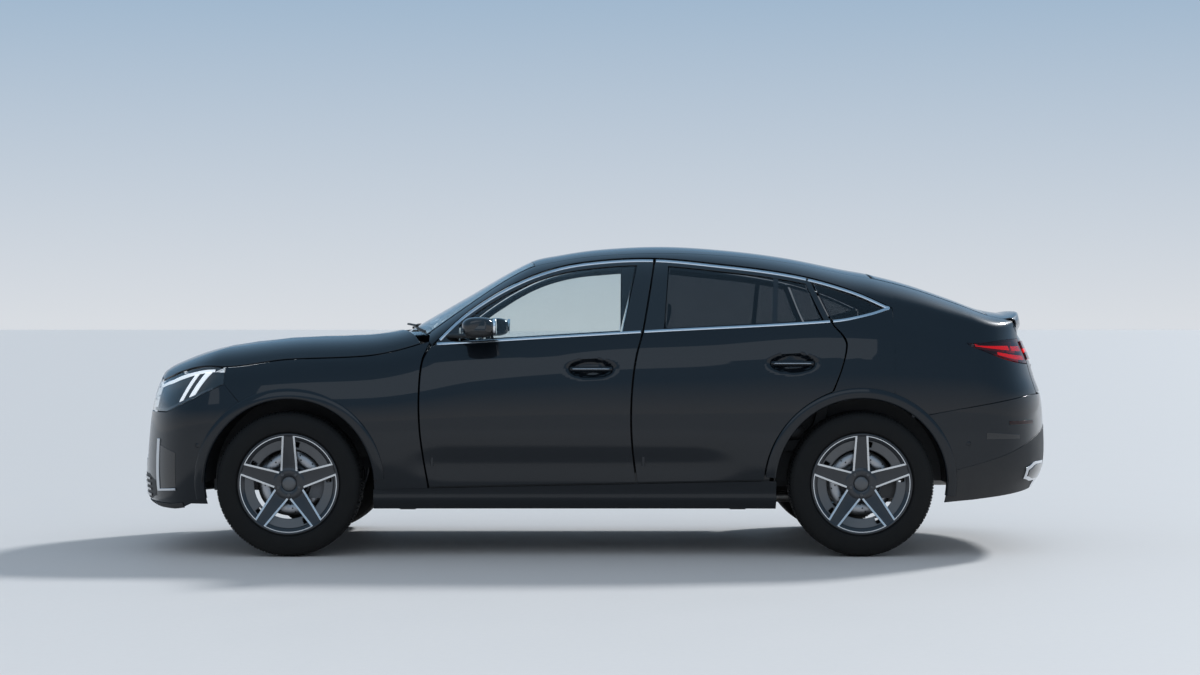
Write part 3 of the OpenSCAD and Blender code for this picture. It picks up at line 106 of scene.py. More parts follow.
# guide lines of the body, each a short list of [position, value]
lines = {
    "plan": [[noseCorner, -36], [frontAxle, -2], [frontAxle + 600, -16], [rearAxle - 700, -13], [rearAxle, 0],
             [tailCorner, -36]],
    "crown": [[noseX + 88, 927], [noseX + 165, 972], [noseX + 355, b["hood"] - 68],
              [noseX + 575, b["hood"] - 30],
              [frontAxle, b["hood"]], [cowlX - 100, b["cowl"] - 6], [cowlX + 100, b["cowl"] + 34],
              [frontAxle + 940, 1275], [frontAxle + 1540, 1345], [rearAxle - 750, 1375],
              [rearAxle - 150, 1420],
              [tailCorner, 1390], [tailX, 1330]],
    "nose": [[205, 130], [252, 25], [320, 4], [450, 0], [640, 16], [770, 35], [860, 58], [905, 75], [927, 88],
             [972, 165], [1036, 355], [1074, 575]],
    "tail": [[250, 215], [300, 85], [340, 60], [430, 5], [640, 0], [800, 14], [900, 50], [1000, 82],
             [1090, 120],
             [1200, 125], [1240, 150]],
    "base": [[cowlX, b["beltFront"] - 13], [frontAxle + 713, b["beltFront"]],
             [pillarX + 60, b["beltFront"] + 64],
             [rearAxle - 140, b["beltRear"]], [tipX, b["beltRear"] + 8], [lipX, b["beltRear"] - 15]],
    "roof": [[cowlX, 1112], [frontAxle + 847, lerp(1112, b["roofTop"] - 84, 0.51)],
             [headerX, b["roofTop"] - 84],
             [frontAxle + 1352, b["roofTop"] - 46], [frontAxle + 1570, b["roofTop"] - 15],
             [peakX, b["roofTop"]],
             [rearAxle - 669, b["roofTop"] - 18], [rearAxle - 344, b["roofTop"] - 58],
             [rearAxle - 19, b["roofTop"] - 123], [rearAxle + 100, b["roofTop"] - 144],
             [rearAxle + 306, b["roofTop"] - 197], [rearAxle + 522, b["roofTop"] - 271],
             [glassEnd, b["roofTop"] - 330], [rearAxle + 803, b["roofTop"] - 354],
             [lipX, b["roofTop"] - 361]],
    "drop": [[cowlX, 78], [headerX, 46], [peakX, 42], [rearAxle, 48], [glassEnd, 40], [lipX, 34]],
    "windowTop": [[frontAxle + 713, b["beltFront"]], [frontAxle + 886, b["beltFront"] + 167],
                  [frontAxle + 1117, b["roofTop"] - 213], [frontAxle + 1352, b["roofTop"] - 122],
                  [frontAxle + 1588, b["roofTop"] - 85], [frontAxle + 1848, b["roofTop"] - 76],
                  [rearAxle - 782, b["roofTop"] - 98], [rearAxle - 349, b["roofTop"] - 156],
                  [rearAxle - 65, b["roofTop"] - 232], [tipX, tipZ]],
    "belt": [[frontAxle + 713, b["beltFront"]], [pillarX + 60, b["beltFront"] + 64],
             [rearAxle - 140, b["beltRear"]], [rearAxle + 50, b["beltRear"] + 35], [tipX, tipZ]],
    "frontCut": [[352, 707], [490, 683], [650, 664], [820, 660], [985, 675], [1063, 713]],
    "middleCut": [[374, 28], [543, 7], [692, 0], [862, 7], [1010, 28], [1138, 62], [1516, 128]],
    "rearCut": [[833, -145], [946, -99], [1059, -73], [1110, -92], [1173, -140], [1418, -252]],
    "shoulder": [[tipX, tipZ], [rearAxle + 352, 1160], [rearAxle + 530, 1079], [rearAxle + 773, 1096],
                 [tailX - 150, 1100]],
    "tailLamp": [[rearAxle + 530, 1070], [rearAxle + 796, 978], [tailX, 960]],
    "edge": [[cowlX, 745], [frontAxle + 681, 700], [headerX, 524], [peakX, 512], [gateX, 520],
             [glassEnd, 600],
             [lipX, 590]],
    "hoodEdge": [[noseX + 148, 560], [noseX + 232, 672], [noseX + 475, 798], [frontAxle, 822],
                 [frontAxle + 340, 815], [frontAxle + 660, 790]],
}


def along(name, x):
    return curve(lines[name], x)


def noseAt(z):
    return noseX + along("nose", z)


def tailAt(z):
    return tailX - along("tail", z)


def endRound(x, z):
    front = np.where(x < noseCorner, np.clip((noseCorner - x) / np.maximum(noseCorner - noseAt(z), 1), 0, 1),
                     0)
    back = np.where(x > tailCorner, np.clip((x - tailCorner) / np.maximum(tailAt(z) - tailCorner, 1), 0, 1),
                    0)
    power = b["endPower"]
    return (1 - front ** power) ** (1 / power) * (1 - back ** power) ** (1 / power)


def sideY(x, z):  # half width of the lower body
    x, z = np.broadcast_arrays(np.asarray(x, float), np.asarray(z, float))
    low = 1 - b["tuck"] * ((b["waist"] - z) / (b["waist"] - b["sill"])) ** 2
    q = np.clip((z - b["waist"]) / (along("crown", x) - b["waist"]), 0, 1)
    section = np.where(z < b["waist"], low, (1 - q ** b["crownPower"]) ** (1 / b["crownRound"]))
    return (b["bodyWidth"] / 2 + along("plan", x)) * section * endRound(x, z)


def topZ(x, y):  # height of the lower body at a distance from the middle
    x, y = np.broadcast_arrays(np.asarray(x, float), np.abs(np.asarray(y, float)))
    low, high = np.full(x.shape, b["waist"]), along("crown", x)
    for _ in range(26):
        mid = (low + high) / 2
        wide = sideY(x, mid) > y
        low, high = np.where(wide, mid, low), np.where(wide, high, mid)
    return (low + high) / 2


def rearX(y, z):
    q = np.clip(np.abs(y) / sideY(tailCorner, z), 0, 1)
    return tailCorner + (tailAt(z) - tailCorner) * (1 - q ** b["endPower"]) ** (1 / b["endPower"])


def nosePoint(t, z):  # point on the nose at a turn from the middle, in degrees
    x = noseCorner - (noseCorner - noseAt(z)) * np.cos(np.radians(t)) ** (2 / b["endPower"])
    return x, sideY(x, z)


def tailPoint(t, z):
    x = tailCorner + (tailAt(z) - tailCorner) * np.cos(np.radians(t)) ** (2 / b["endPower"])
    return x, sideY(x, z)


def baseY(x):
    return sideY(x, along("base", x)) - b["ledge"]


def dropZ(x, y):
    return along("drop", x) * (y / b["dropHalf"]) ** 2


def upperY(x, z):  # half width of the glass house at a height
    x, z = np.broadcast_arrays(np.asarray(x, float), np.asarray(z, float))
    base, rise, foot = along("base", x), along("roof", x) - along("base", x), baseY(x)
    h, y = z - base, np.full(x.shape, 620.0)
    for _ in range(24):
        k = np.clip((h + dropZ(x, y)) / rise, 0, 1)
        y = (y + np.maximum(foot * (1 - k ** b["roundPower"]) ** (1 / b["roundPower"]) - b["lean"] * h
                            - b["leanCurve"] * h * np.abs(h), 0)) / 2
    return y


def roofZ(x, y):  # height of the glass house at a distance from the middle
    x, y = np.broadcast_arrays(np.asarray(x, float), np.abs(np.asarray(y, float)))
    base, rise, foot = along("base", x), along("roof", x) - along("base", x), baseY(x)
    h = np.full(x.shape, 200.0)
    for _ in range(16):
        k = np.clip((y + b["lean"] * h + b["leanCurve"] * h ** 2) / foot, 0, 1)
        h = (h + rise * (1 - k ** b["roundPower"]) ** (1 / b["roundPower"]) - dropZ(x, y)) / 2
    return base + h


def doorLow(x):
    return lerp(b["doorLowFront"], b["doorLowRear"], (x - frontAxle - 700) / (b["wheelbase"] - 1180))


def rearCut(z):
    reach = b["rearArch"] + b["archTrim"] + 3
    arch = rearAxle - np.sqrt(np.maximum(reach ** 2 - (z - wheelZ) ** 2, 0))
    return np.where(z < lines["rearCut"][0][0], arch, rearAxle + along("rearCut", z))


def frontCut(z):
    return frontAxle + along("frontCut", z)


def middleCut(z):
    return pillarX + along("middleCut", z)


def shoulderZ(x):
    return np.where(np.asarray(x) < tipX, along("windowTop", x), along("shoulder", x))


def hoodSideZ(x):
    return topZ(x, along("hoodEdge", x))


def lampLow(x):
    start = noseX + 207
    return lerp(726, 872, np.maximum(x - start, 0) / (noseCorner + 26 - start))


def bumperTop(x):
    return lerp(700, b["split"] - 4, np.clip((x - rearAxle - 256) / (tailX - 150 - rearAxle - 256), 0, 1))


def bumperLow(x):
    return lerp(272, 335, np.clip((x - rearAxle - 420) / (tailX - rearAxle - 420), -1, 1))


# relief of the flanks: a hollow along the lower doors and a soft ridge under the windows
flank = {"hollowDepth": 13.0, "hollowZ": 470.0, "hollowWidth": 80.0, "ridge": 4.0, "ridgeZ": 1000.0,
         "ridgeWidth": 46.0, "ridgeClimb": 0.012, "hollowStart": (frontAxle + 480, frontAxle + 820),
         "hollowEnd": (rearAxle - 860, rearAxle - 500), "ridgeStart": (frontAxle - 150, frontAxle + 250),
         "ridgeEnd": (rearAxle + 120, rearAxle + 520)}


def skinY(x, z):
    x, z = np.broadcast_arrays(np.asarray(x, float), np.asarray(z, float))
    middle = ease(x, *flank["hollowStart"]) * (1 - ease(x, *flank["hollowEnd"]))
    hollow = flank["hollowDepth"] * bump(z, flank["hollowZ"], flank["hollowWidth"]) * middle
    reach = ease(x, *flank["ridgeStart"]) * (1 - ease(x, *flank["ridgeEnd"]))
    line = flank["ridgeZ"] + flank["ridgeClimb"] * (x - pillarX)
    ridge = flank["ridge"] * np.exp(-np.abs(z - line) / flank["ridgeWidth"]) * reach
    return sideY(x, z) - hollow + ridge


def cornerY(x, z):  # flank behind the windows: the lower body runs into the rail without a step
    low, high = skinY(x, z), upperY(x, z)
    turn = ease(z - shoulderZ(x), -90, 80)
    step = np.where(np.asarray(x) < tipX, 0, turn)
    return lerp(low, high, step)


print("surfaces ready")


# materials
def addNode(tree, kind, inputs=None, **settings):  # a shader node with its settings and input values
    node = tree.nodes.new("ShaderNode" + kind)
    for label, value in settings.items():
        setattr(node, label, value)
    for label, value in (inputs or {}).items():
        node.inputs[label].default_value = value
    return node


def wire(tree, *pairs):
    for output, socket in pairs:
        tree.links.new(output, socket)


def groupTree(name, inputs, outputs):
    tree = bpy.data.node_groups.new(name, "ShaderNodeTree")
    for way, labels in (("INPUT", inputs), ("OUTPUT", outputs)):
        for label in labels:
            kind = "Color" if "Color" in label else "Float"
            tree.interface.new_socket(label, in_out=way, socket_type="NodeSocket" + kind)
    return tree, tree.nodes.new("NodeGroupInput").outputs, tree.nodes.new("NodeGroupOutput").inputs


def patternGroup(name, cells, broadScale, broadDetail):
    # two tones with their own roughness and height: fine speckle, or the cells of moulded grain
    tree, into, out = groupTree(name, ("Color A", "Color B", "Scale", "Rough Low", "Rough High"),
                                ("Color", "Roughness", "Height"))
    place = addNode(tree, "TexCoord").outputs["Object"]
    broad = addNode(tree, "TexNoise", {"Scale": broadScale, "Detail": broadDetail})
    if cells:
        fine = addNode(tree, "TexVoronoi", feature="SMOOTH_F1")
        height, tone = fine.outputs["Distance"], broad.outputs["Fac"]
    else:
        fine = addNode(tree, "TexNoise", {"Detail": 3})
        height = tone = fine.outputs["Fac"]
    mix = addNode(tree, "Mix", data_type="RGBA")
    rough = addNode(tree, "MapRange")
    wire(tree, (place, fine.inputs["Vector"]), (place, broad.inputs["Vector"]),
         (into["Scale"], fine.inputs["Scale"]), (tone, mix.inputs["Factor"]),
         (into["Color A"], mix.inputs["A"]), (into["Color B"], mix.inputs["B"]),
         (broad.outputs["Fac"], rough.inputs["Value"]), (into["Rough Low"], rough.inputs["To Min"]),
         (into["Rough High"], rough.inputs["To Max"]), (mix.outputs["Result"], out["Color"]),
         (rough.outputs["Result"], out["Roughness"]), (height, out["Height"]))
    return tree


def dustGroup():  # pale road dust that thins out with height
    tree, into, out = groupTree("roadDust", ("Color", "Dust Color", "Amount", "Top"), ("Color", "Mask"))
    place = addNode(tree, "TexCoord").outputs["Object"]
    split = addNode(tree, "SeparateXYZ")
    height = addNode(tree, "MapRange", {"To Min": 1, "To Max": 0})
    noise = addNode(tree, "TexNoise", {"Scale": 14, "Detail": 6})
    both = addNode(tree, "Math", operation="MULTIPLY")
    scaled = addNode(tree, "Math", operation="MULTIPLY")
    mix = addNode(tree, "Mix", data_type="RGBA")
    mask = scaled.outputs["Value"]
    wire(tree, (place, split.inputs["Vector"]), (split.outputs["Z"], height.inputs["Value"]),
         (into["Top"], height.inputs["From Max"]), (place, noise.inputs["Vector"]),
         (height.outputs["Result"], both.inputs[0]), (noise.outputs["Fac"], both.inputs[1]),
         (both.outputs["Value"], scaled.inputs[0]), (into["Amount"], scaled.inputs[1]),
         (mask, mix.inputs["Factor"]), (into["Color"], mix.inputs["A"]),
         (into["Dust Color"], mix.inputs["B"]),
         (mix.outputs["Result"], out["Color"]), (mask, out["Mask"]))
    return tree


speckle = patternGroup("fineSpeckle", False, 2.2, 2)
grain = patternGroup("mouldedGrain", True, 9, 5)
dust = dustGroup()
dustColor = (0.22, 0.2, 0.18, 1)


def material(name, pattern, colorA, colorB, scale, rough, relief=None, dusty=None, glow=0.0, shader=None):
    made = bpy.data.materials.new(name)
    made.use_nodes = True
    tree = made.node_tree
    surface = tree.nodes["Principled BSDF"].inputs
    for label, value in (shader or {}).items():
        surface[label].default_value = value
    look = addNode(tree, "Group", {"Color A": (*colorA, 1), "Color B": (*colorB, 1), "Scale": scale,
                                   "Rough Low": rough[0], "Rough High": rough[1]}, node_tree=pattern)
    color = look.outputs["Color"]
    if dusty:
        layer = addNode(tree, "Group", {"Dust Color": dustColor, "Amount": dusty[0], "Top": dusty[1]},
                        node_tree=dust)
        wire(tree, (color, layer.inputs["Color"]))
        color = layer.outputs["Color"]
    wire(tree, (color, surface["Base Color"]), (look.outputs["Roughness"], surface["Roughness"]))
    if relief:
        raised = addNode(tree, "Bump", {"Strength": relief[0], "Distance": relief[1]})
        wire(tree, (look.outputs["Height"], raised.inputs["Height"]),
             (raised.outputs["Normal"], surface["Normal"]))
    if glow:
        surface["Emission Strength"].default_value = glow
        wire(tree, (color, surface["Emission Color"]))
    return made


def brighter(tint, share):
    return [min(1, c * share) for c in tint]


def glassMaterial(name, tint, rough):
    return material(name, speckle, tint, brighter(tint, 1.05), 6, rough,
                    shader={"Transmission Weight": 1.0, "IOR": 1.45})


def glowMaterial(name, tint, strength):
    return material(name, speckle, tint, brighter(tint, 1.15), 240, (0.2, 0.3), glow=strength)


finishes = {
    "paint": material(
        "graphitePaint", speckle, (0.0024, 0.0040, 0.0066), (0.0062, 0.0100, 0.0150), 1400, (0.34, 0.40),
        shader={"Metallic": 0.2, "Coat Weight": 0.8, "Coat Roughness": 0.02, "Specular IOR Level": 0.12}),
    "glossBlack": material(
        "pianoBlack", speckle, (0.004, 0.004, 0.005), (0.007, 0.007, 0.008), 300, (0.08, 0.14),
        shader={"Coat Weight": 0.6, "Coat Roughness": 0.03}),
    "plastic": material(
        "grainedPlastic", grain, (0.014, 0.014, 0.015), (0.024, 0.024, 0.025), 520, (0.52, 0.66),
        (0.25, 0.0006), (0.25, 0.5)),
    "satinStrip": material(
        "satinStrip", speckle, (0.55, 0.57, 0.60), (0.68, 0.70, 0.73), 700, (0.14, 0.22),
        shader={"Metallic": 1.0}),
    "turnedAlloy": material(
        "turnedAlloy", speckle, (0.62, 0.63, 0.64), (0.80, 0.81, 0.82), 900, (0.20, 0.28), dusty=(0.15, 0.75),
        shader={"Metallic": 1.0}),
    "wheelPaint": material(
        "wheelGraphite", speckle, (0.016, 0.018, 0.022), (0.034, 0.037, 0.043), 1600, (0.28, 0.36),
        dusty=(0.15, 0.75), shader={"Metallic": 0.6, "Coat Weight": 0.6, "Coat Roughness": 0.06}),
    "aeroGrey": material(
        "aeroGrey", speckle, (0.09, 0.092, 0.096), (0.14, 0.143, 0.148), 1200, (0.36, 0.46),
        dusty=(0.2, 0.75), shader={"Metallic": 0.5, "Coat Weight": 0.3, "Coat Roughness": 0.1}),
    "tyre": material(
        "tyreRubber", grain, (0.004, 0.004, 0.004), (0.008, 0.008, 0.008), 800, (0.62, 0.78), (0.3, 0.0005),
        (0.04, 0.9), shader={"Specular IOR Level": 0.25}),
    # near-black colour of the plugs in the brake disc's drilled holes: painted shade for the holes' insides
    "rubber": material(
        "paintedHoleShade", grain, (0.008, 0.008, 0.008), (0.014, 0.014, 0.014), 900, (0.5, 0.62), (0.15, 0.0004)),
    "disc": material(
        "groundSteel", speckle, (0.34, 0.34, 0.35), (0.48, 0.48, 0.49), 260, (0.26, 0.38),
        shader={"Metallic": 1.0}),
    "castMetal": material(
        "castMetal", speckle, (0.10, 0.10, 0.105), (0.17, 0.17, 0.175), 180, (0.5, 0.65), (0.35, 0.0012),
        (0.4, 0.7), shader={"Metallic": 0.7}),
    "chassis": material(
        "chassisCoat", speckle, (0.020, 0.020, 0.021), (0.034, 0.034, 0.035), 240, (0.5, 0.65), (0.3, 0.0012),
        (0.5, 0.6)),
    "exhaust": material(
        "pipeSteel", speckle, (0.36, 0.34, 0.32), (0.50, 0.48, 0.46), 320, (0.3, 0.45), dusty=(0.5, 0.6),
        shader={"Metallic": 1.0}),
    "leather": material(
        "greyLeather", grain, (0.070, 0.070, 0.072), (0.098, 0.097, 0.098), 420, (0.42, 0.56),
        (0.35, 0.0008)),
    "cabin": material(
        "cabinPlastic", grain, (0.022, 0.022, 0.024), (0.034, 0.034, 0.036), 600, (0.55, 0.7),
        (0.25, 0.0006)),
    "lining": material(
        "roofLining", grain, (0.32, 0.315, 0.30), (0.38, 0.372, 0.355), 900, (0.8, 0.9), (0.3, 0.0008)),
    "carpet": material(
        "floorCarpet", grain, (0.016, 0.016, 0.017), (0.030, 0.030, 0.031), 700, (0.85, 0.95), (0.6, 0.002)),
    "clearGlass": glassMaterial("clearGlass", (0.80, 0.85, 0.85), (0.0, 0.01)),
    "darkGlass": glassMaterial("darkGlass", (0.18, 0.19, 0.20), (0.0, 0.012)),
    "lampGlass": glassMaterial("lampGlass", (0.94, 0.96, 0.97), (0.0, 0.01)),
    "redLens": glassMaterial("redLens", (0.42, 0.015, 0.02), (0.02, 0.05)),
    "whiteGlow": glowMaterial("whiteGlow", (0.92, 0.95, 1.0), 0.7),
    "redGlow": glowMaterial("redGlow", (0.9, 0.05, 0.04), 1.2),
    "mirrorGlass": material(
        "mirrorGlass", speckle, (0.82, 0.84, 0.86), (0.88, 0.90, 0.92), 4, (0.01, 0.02),
        shader={"Metallic": 1.0}),
}
print("materials ready:", len(finishes))


# mesh helpers, points in mm
def gridFaces(rows, cols, start=0):
    i, j = np.meshgrid(np.arange(rows - 1), np.arange(cols - 1), indexing="ij")
    k = (i * cols + j).ravel() + start
    return np.stack([k, k + cols, k + cols + 1, k + 1], axis=1).tolist()


def meshOf(name, points, faces, materials, smooth=True):
    mesh = bpy.data.meshes.new(name)
    mesh.from_pydata((np.asarray(points, float) * mm).tolist(), [], faces)
    for m in materials:
        mesh.materials.append(m)
    mesh.polygons.foreach_set("use_smooth", np.full(len(mesh.polygons), smooth))
    mesh.update()
    return mesh


def objectOf(name, data):
    obj = bpy.data.objects.new(name, data)
    scene.collection.objects.link(obj)
    return obj


def cleanMesh(mesh, outward=None, weld=0.00002):  # merges doubles and turns the faces outwards
    bm = bmesh.new()
    bm.from_mesh(mesh)
    bmesh.ops.remove_doubles(bm, verts=bm.verts, dist=weld)
    bmesh.ops.dissolve_degenerate(bm, dist=weld, edges=bm.edges)
    bmesh.ops.recalc_face_normals(bm, faces=bm.faces)
    if outward is not None:
        way = Vector(outward)
        if sum((f.normal.dot(way) * f.calc_area() for f in bm.faces)) < 0:
            bmesh.ops.reverse_faces(bm, faces=bm.faces)
    bm.to_mesh(mesh)
    bm.free()


def plain(obj):  # modifiers into the mesh
    graph = bpy.context.evaluated_depsgraph_get()
    mesh = bpy.data.meshes.new_from_object(obj.evaluated_get(graph), preserve_all_data_layers=True,
                                           depsgraph=graph)
    mesh.name = obj.name
    obj.modifiers.clear()
    obj.data = mesh
    return obj


def bevelEdges(obj, width, segments, angle, harden=True):
    edge = obj.modifiers.new("edge", "BEVEL")
    edge.width = width * mm
    edge.segments = segments
    edge.limit_method = "ANGLE"
    edge.angle_limit = math.radians(angle)
    edge.harden_normals = harden


def finishPiece(obj, body, replaces=()):
    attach(obj, body)
    if replaces:
        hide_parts(*replaces)
    return obj


def panel(name, grids, outward, thick, finish, inner=None, lip=2.0):
    points, faces, start = [], [], 0
    for g in grids:
        g = np.asarray(g, float)
        points.append(g.reshape(-1, 3))
        faces += gridFaces(g.shape[0], g.shape[1], start)
        start += g.shape[0] * g.shape[1]
    materials = [finishes[finish]] + ([finishes[inner]] if inner else [])
    mesh = meshOf(name, np.concatenate(points), faces, materials)
    cleanMesh(mesh, outward)
    obj = objectOf(name, mesh)
    wall = obj.modifiers.new("wall", "SOLIDIFY")
    wall.thickness = thick * mm
    wall.offset = -1
    wall.use_even_offset = True
    wall.thickness_clamp = 0.9
    if inner:
        wall.material_offset = 1
    if lip:
        bevelEdges(obj, lip, 2, 55)
    return plain(obj)


def solidPiece(name, points, faces, finish, lip=0.0, smooth=True, segments=2):
    mesh = meshOf(name, points, faces, [finishes[finish]], smooth)
    cleanMesh(mesh)
    obj = objectOf(name, mesh)
    if lip:
        bevelEdges(obj, lip, segments, 40, smooth)
        plain(obj)
    return obj


def skin(name, grids, outward, thick, finish, body, slot, replaces=(), **look):
    return finishPiece(panel(name, grids, outward, thick, finish, **look), body, replaces)


def solid(name, shape, finish, body, slot, replaces=(), **look):
    return finishPiece(solidPiece(name, *shape, finish, **look), body, replaces)


def sidePanel(xs, rows, low, high, place, face, sign):
    v = np.linspace(0, 1, rows + 1)
    x0 = np.repeat(np.asarray(xs, float)[:, None], rows + 1, axis=1)
    z0 = lerp(low(x0), high(x0), v)
    x = place(x0, z0)
    z = lerp(low(x), high(x), v)
    return np.stack([x, sign * face(x, z), z], axis=-1)


def loft(rings):  # closed rings of points into a capped solid
    rings = np.asarray(rings, float)
    n, m = rings.shape[:2]
    faces = [[i * m + j, (i + 1) * m + j, (i + 1) * m + (j + 1) % m, i * m + (j + 1) % m]
             for i in range(n - 1) for j in range(m)]
    faces += [list(range(m - 1, -1, -1)), [(n - 1) * m + j for j in range(m)]]
    return rings.reshape(-1, 3), faces


def sweep(path, side, up, profile):  # profile points (across, up) carried along a path
    path = np.asarray(path, float)
    side, up = (np.broadcast_to(np.asarray(a, float), path.shape)[:, None] for a in (side, up))
    profile = np.asarray(profile, float)
    return loft(path[:, None] + profile[None, :, 0, None] * side + profile[None, :, 1, None] * up)


def lathe(profile, centre, sign, steps=96):  # profile (radius, outward distance) turned about a wheel's axis
    profile = np.asarray(profile, float)
    a = np.linspace(0, 2 * np.pi, steps, endpoint=False)
    x = centre[0] + profile[None, :, 0] * np.cos(a)[:, None]
    z = centre[2] + profile[None, :, 0] * np.sin(a)[:, None]
    y = np.broadcast_to(centre[1] + sign * profile[None, :, 1], x.shape)
    m = len(profile)
    faces = []
    for i in range(steps):
        k = (i + 1) % steps
        for j in range(m):
            faces.append([i * m + j, k * m + j, k * m + (j + 1) % m, i * m + (j + 1) % m])
    return np.stack([x, y, z], axis=-1).reshape(-1, 3), faces


def joinParts(parts):  # several (points, faces) into one
    points, faces, start = [], [], 0
    for p, f in parts:
        p = np.asarray(p, float).reshape(-1, 3)
        points.append(p)
        faces += [[k + start for k in face] for face in f]
        start += len(p)
    return np.concatenate(points), faces


def offsetGrid(grid, distance, outward):  # grid moved along its own normals
    n = np.cross(np.gradient(grid, axis=0), np.gradient(grid, axis=1))
    n /= np.maximum(np.linalg.norm(n, axis=-1, keepdims=True), 1e-9)
    if (n * np.asarray(outward, float)).sum() < 0:
        n = -n
    return grid + n * distance


def shares(rows):
    return np.linspace(0, 1, rows + 1)[None, :]


def circle(steps):
    return np.linspace(0, 2 * np.pi, steps, endpoint=False)


def squared(v, power):  # rounds a circle's sine or cosine towards a square
    return np.sign(v) * np.abs(v) ** power


# fenders
fender = {"rows": 32, "thick": 9.0, "start": noseCorner + 28, "turn": 120, "bendFrom": 360, "bendTo": 640}
seamX = frontAxle - b["frontArch"] / 2


def fenderLow(x):
    r = b["frontArch"]
    arch = wheelZ + np.sqrt(np.maximum(r ** 2 - (x - frontAxle) ** 2, 0))
    share = (x - fender["start"]) / (seamX - fender["start"])
    lead = lerp(872, wheelZ + r * math.sin(math.radians(fender["turn"])), share)
    return np.where(x < seamX, lead, np.where(x <= frontAxle + r, arch, doorLow(x) - 8))


def fenderPlace(x, z):
    start, end = frontAxle + fender["bendFrom"], frontAxle + fender["bendTo"]
    return x + np.maximum((x - start) / (end - start), 0) ** 2 * (frontCut(z) - b["doorGap"] - end)


fenderXs = np.concatenate([
    np.linspace(fender["start"], seamX, 16)[:-1],
    frontAxle + b["frontArch"] * np.cos(np.radians(np.linspace(fender["turn"], 0.5, 70))),
    np.linspace(frontAxle + b["frontArch"] + 1, frontAxle + fender["bendTo"], 24)])
for sideName, s in bodySides:
    grid = sidePanel(fenderXs, fender["rows"], fenderLow, lambda x: hoodSideZ(x) - b["lidGap"], fenderPlace,
                     skinY, s)
    skin("fenderSkin_" + sideName, [grid], (0, s, 0), fender["thick"], "paint", "body", "paint",
         ["fender_" + sideName])

# bonnet
bonnet = {"across": 54, "rows": 62, "thick": 9.0, "ridge": 5.0, "ridgeWidth": 34.0, "creases": (330, 560)}
hoodHalf = 560


def hoodFront(y):
    return noseX + 90 + 58 * (y / hoodHalf) ** 2


def hoodRear(e):
    return cowlX + 180 * e ** 2 - 26


def hoodGrid():
    e = np.linspace(-1, 1, bonnet["across"] + 1)[:, None]
    v = shares(bonnet["rows"]) ** 1.25
    x = lerp(hoodFront(hoodHalf * e), hoodRear(e), v)
    y = e * along("hoodEdge", x)
    line = lerp(*bonnet["creases"], v)  # creases that spread towards the windscreen
    fold = bonnet["ridge"] * np.exp(-np.abs(np.abs(y) - line) / bonnet["ridgeWidth"])
    fold = fold * ease(v, 0.02, 0.3)
    return np.stack([x, y, topZ(x, y) + fold * (1 - ease(v, 0.9, 1))], axis=-1)


skin("bonnetSkin", [hoodGrid()], (0, 0, 1), bonnet["thick"], "paint", "bonnet", "paint", ["bonnet"],
     inner="chassis")
print("front panels ready")

# doors
door = {"columns": 78, "rows": 66, "thick": 40.0, "dishDepth": 21.0, "dishLong": 128.0, "dishHigh": 50.0,
        "frontStart": frontAxle + 660, "rearEnd": rearAxle - 140,
        "handles": {"front": (frontAxle + 1524, 947.0), "rear": (rearAxle - 348, 975.0)}}


def dishY(x, z, centre):
    q = ((x - centre[0]) / door["dishLong"]) ** 2 + ((z - centre[1]) / door["dishHigh"]) ** 2
    return door["dishDepth"] * (1 - ease(q, 0.5, 1.0))


def frontDoorPlace(x, z):
    a, c = door["frontStart"], pillarX
    u = (x - a) / (c - a)
    return x + (1 - u) * (frontCut(z) - a) + u * (middleCut(z) - b["doorGap"] / 2 - c)


def rearDoorPlace(x, z):
    a, c = pillarX, door["rearEnd"]
    u = (x - a) / (c - a)
    half = b["doorGap"] / 2
    return x + (1 - u) * (middleCut(z) + half - a) + u * (rearCut(z) - half - c)


doorKinds = {
    "front": {"xs": np.linspace(door["frontStart"], pillarX, door["columns"] + 1), "place": frontDoorPlace},
    "rear": {"xs": np.linspace(pillarX, door["rearEnd"], door["columns"] + 1), "place": rearDoorPlace},
}
for kind, spec in doorKinds.items():
    centre = door["handles"][kind]
    for sideName, s in bodySides:
        tag = kind + "_" + sideName
        face = lambda x, z: skinY(x, z) - dishY(x, z, centre)
        grid = sidePanel(spec["xs"], door["rows"], doorLow, lambda x: along("belt", x) - 1, spec["place"],
                         face, s)
        skin("doorSkin_" + tag, [grid], (0, s, 0), door["thick"], "paint", "door_" + tag, "paint",
             ["door_" + tag])

# window frames and panes
pane = {"frame": 30.0, "top": 7.0, "frameThick": 24.0, "glassThick": 4.0, "sink": 7.0,
        "sail": frontAxle + 852, "underBelt": 14}


def slant(z, low, high):
    return pillarX + lerp(low, high, (z - b["beltFront"] - 64) / (b["roofTop"] - 164 - b["beltFront"]))


def frontPaneRear(z):
    return slant(z, -42, 38)


def rearPaneFront(z):
    return slant(z, 166, 196)


def rearPaneRear(z):
    return rearCut(z) - 34


def onGlassHouse(line, sign, lift=0.0):
    line = np.asarray(line, float)
    return np.stack([line[..., 0], sign * (upperY(line[..., 0], line[..., 1]) + lift), line[..., 1]], axis=-1)


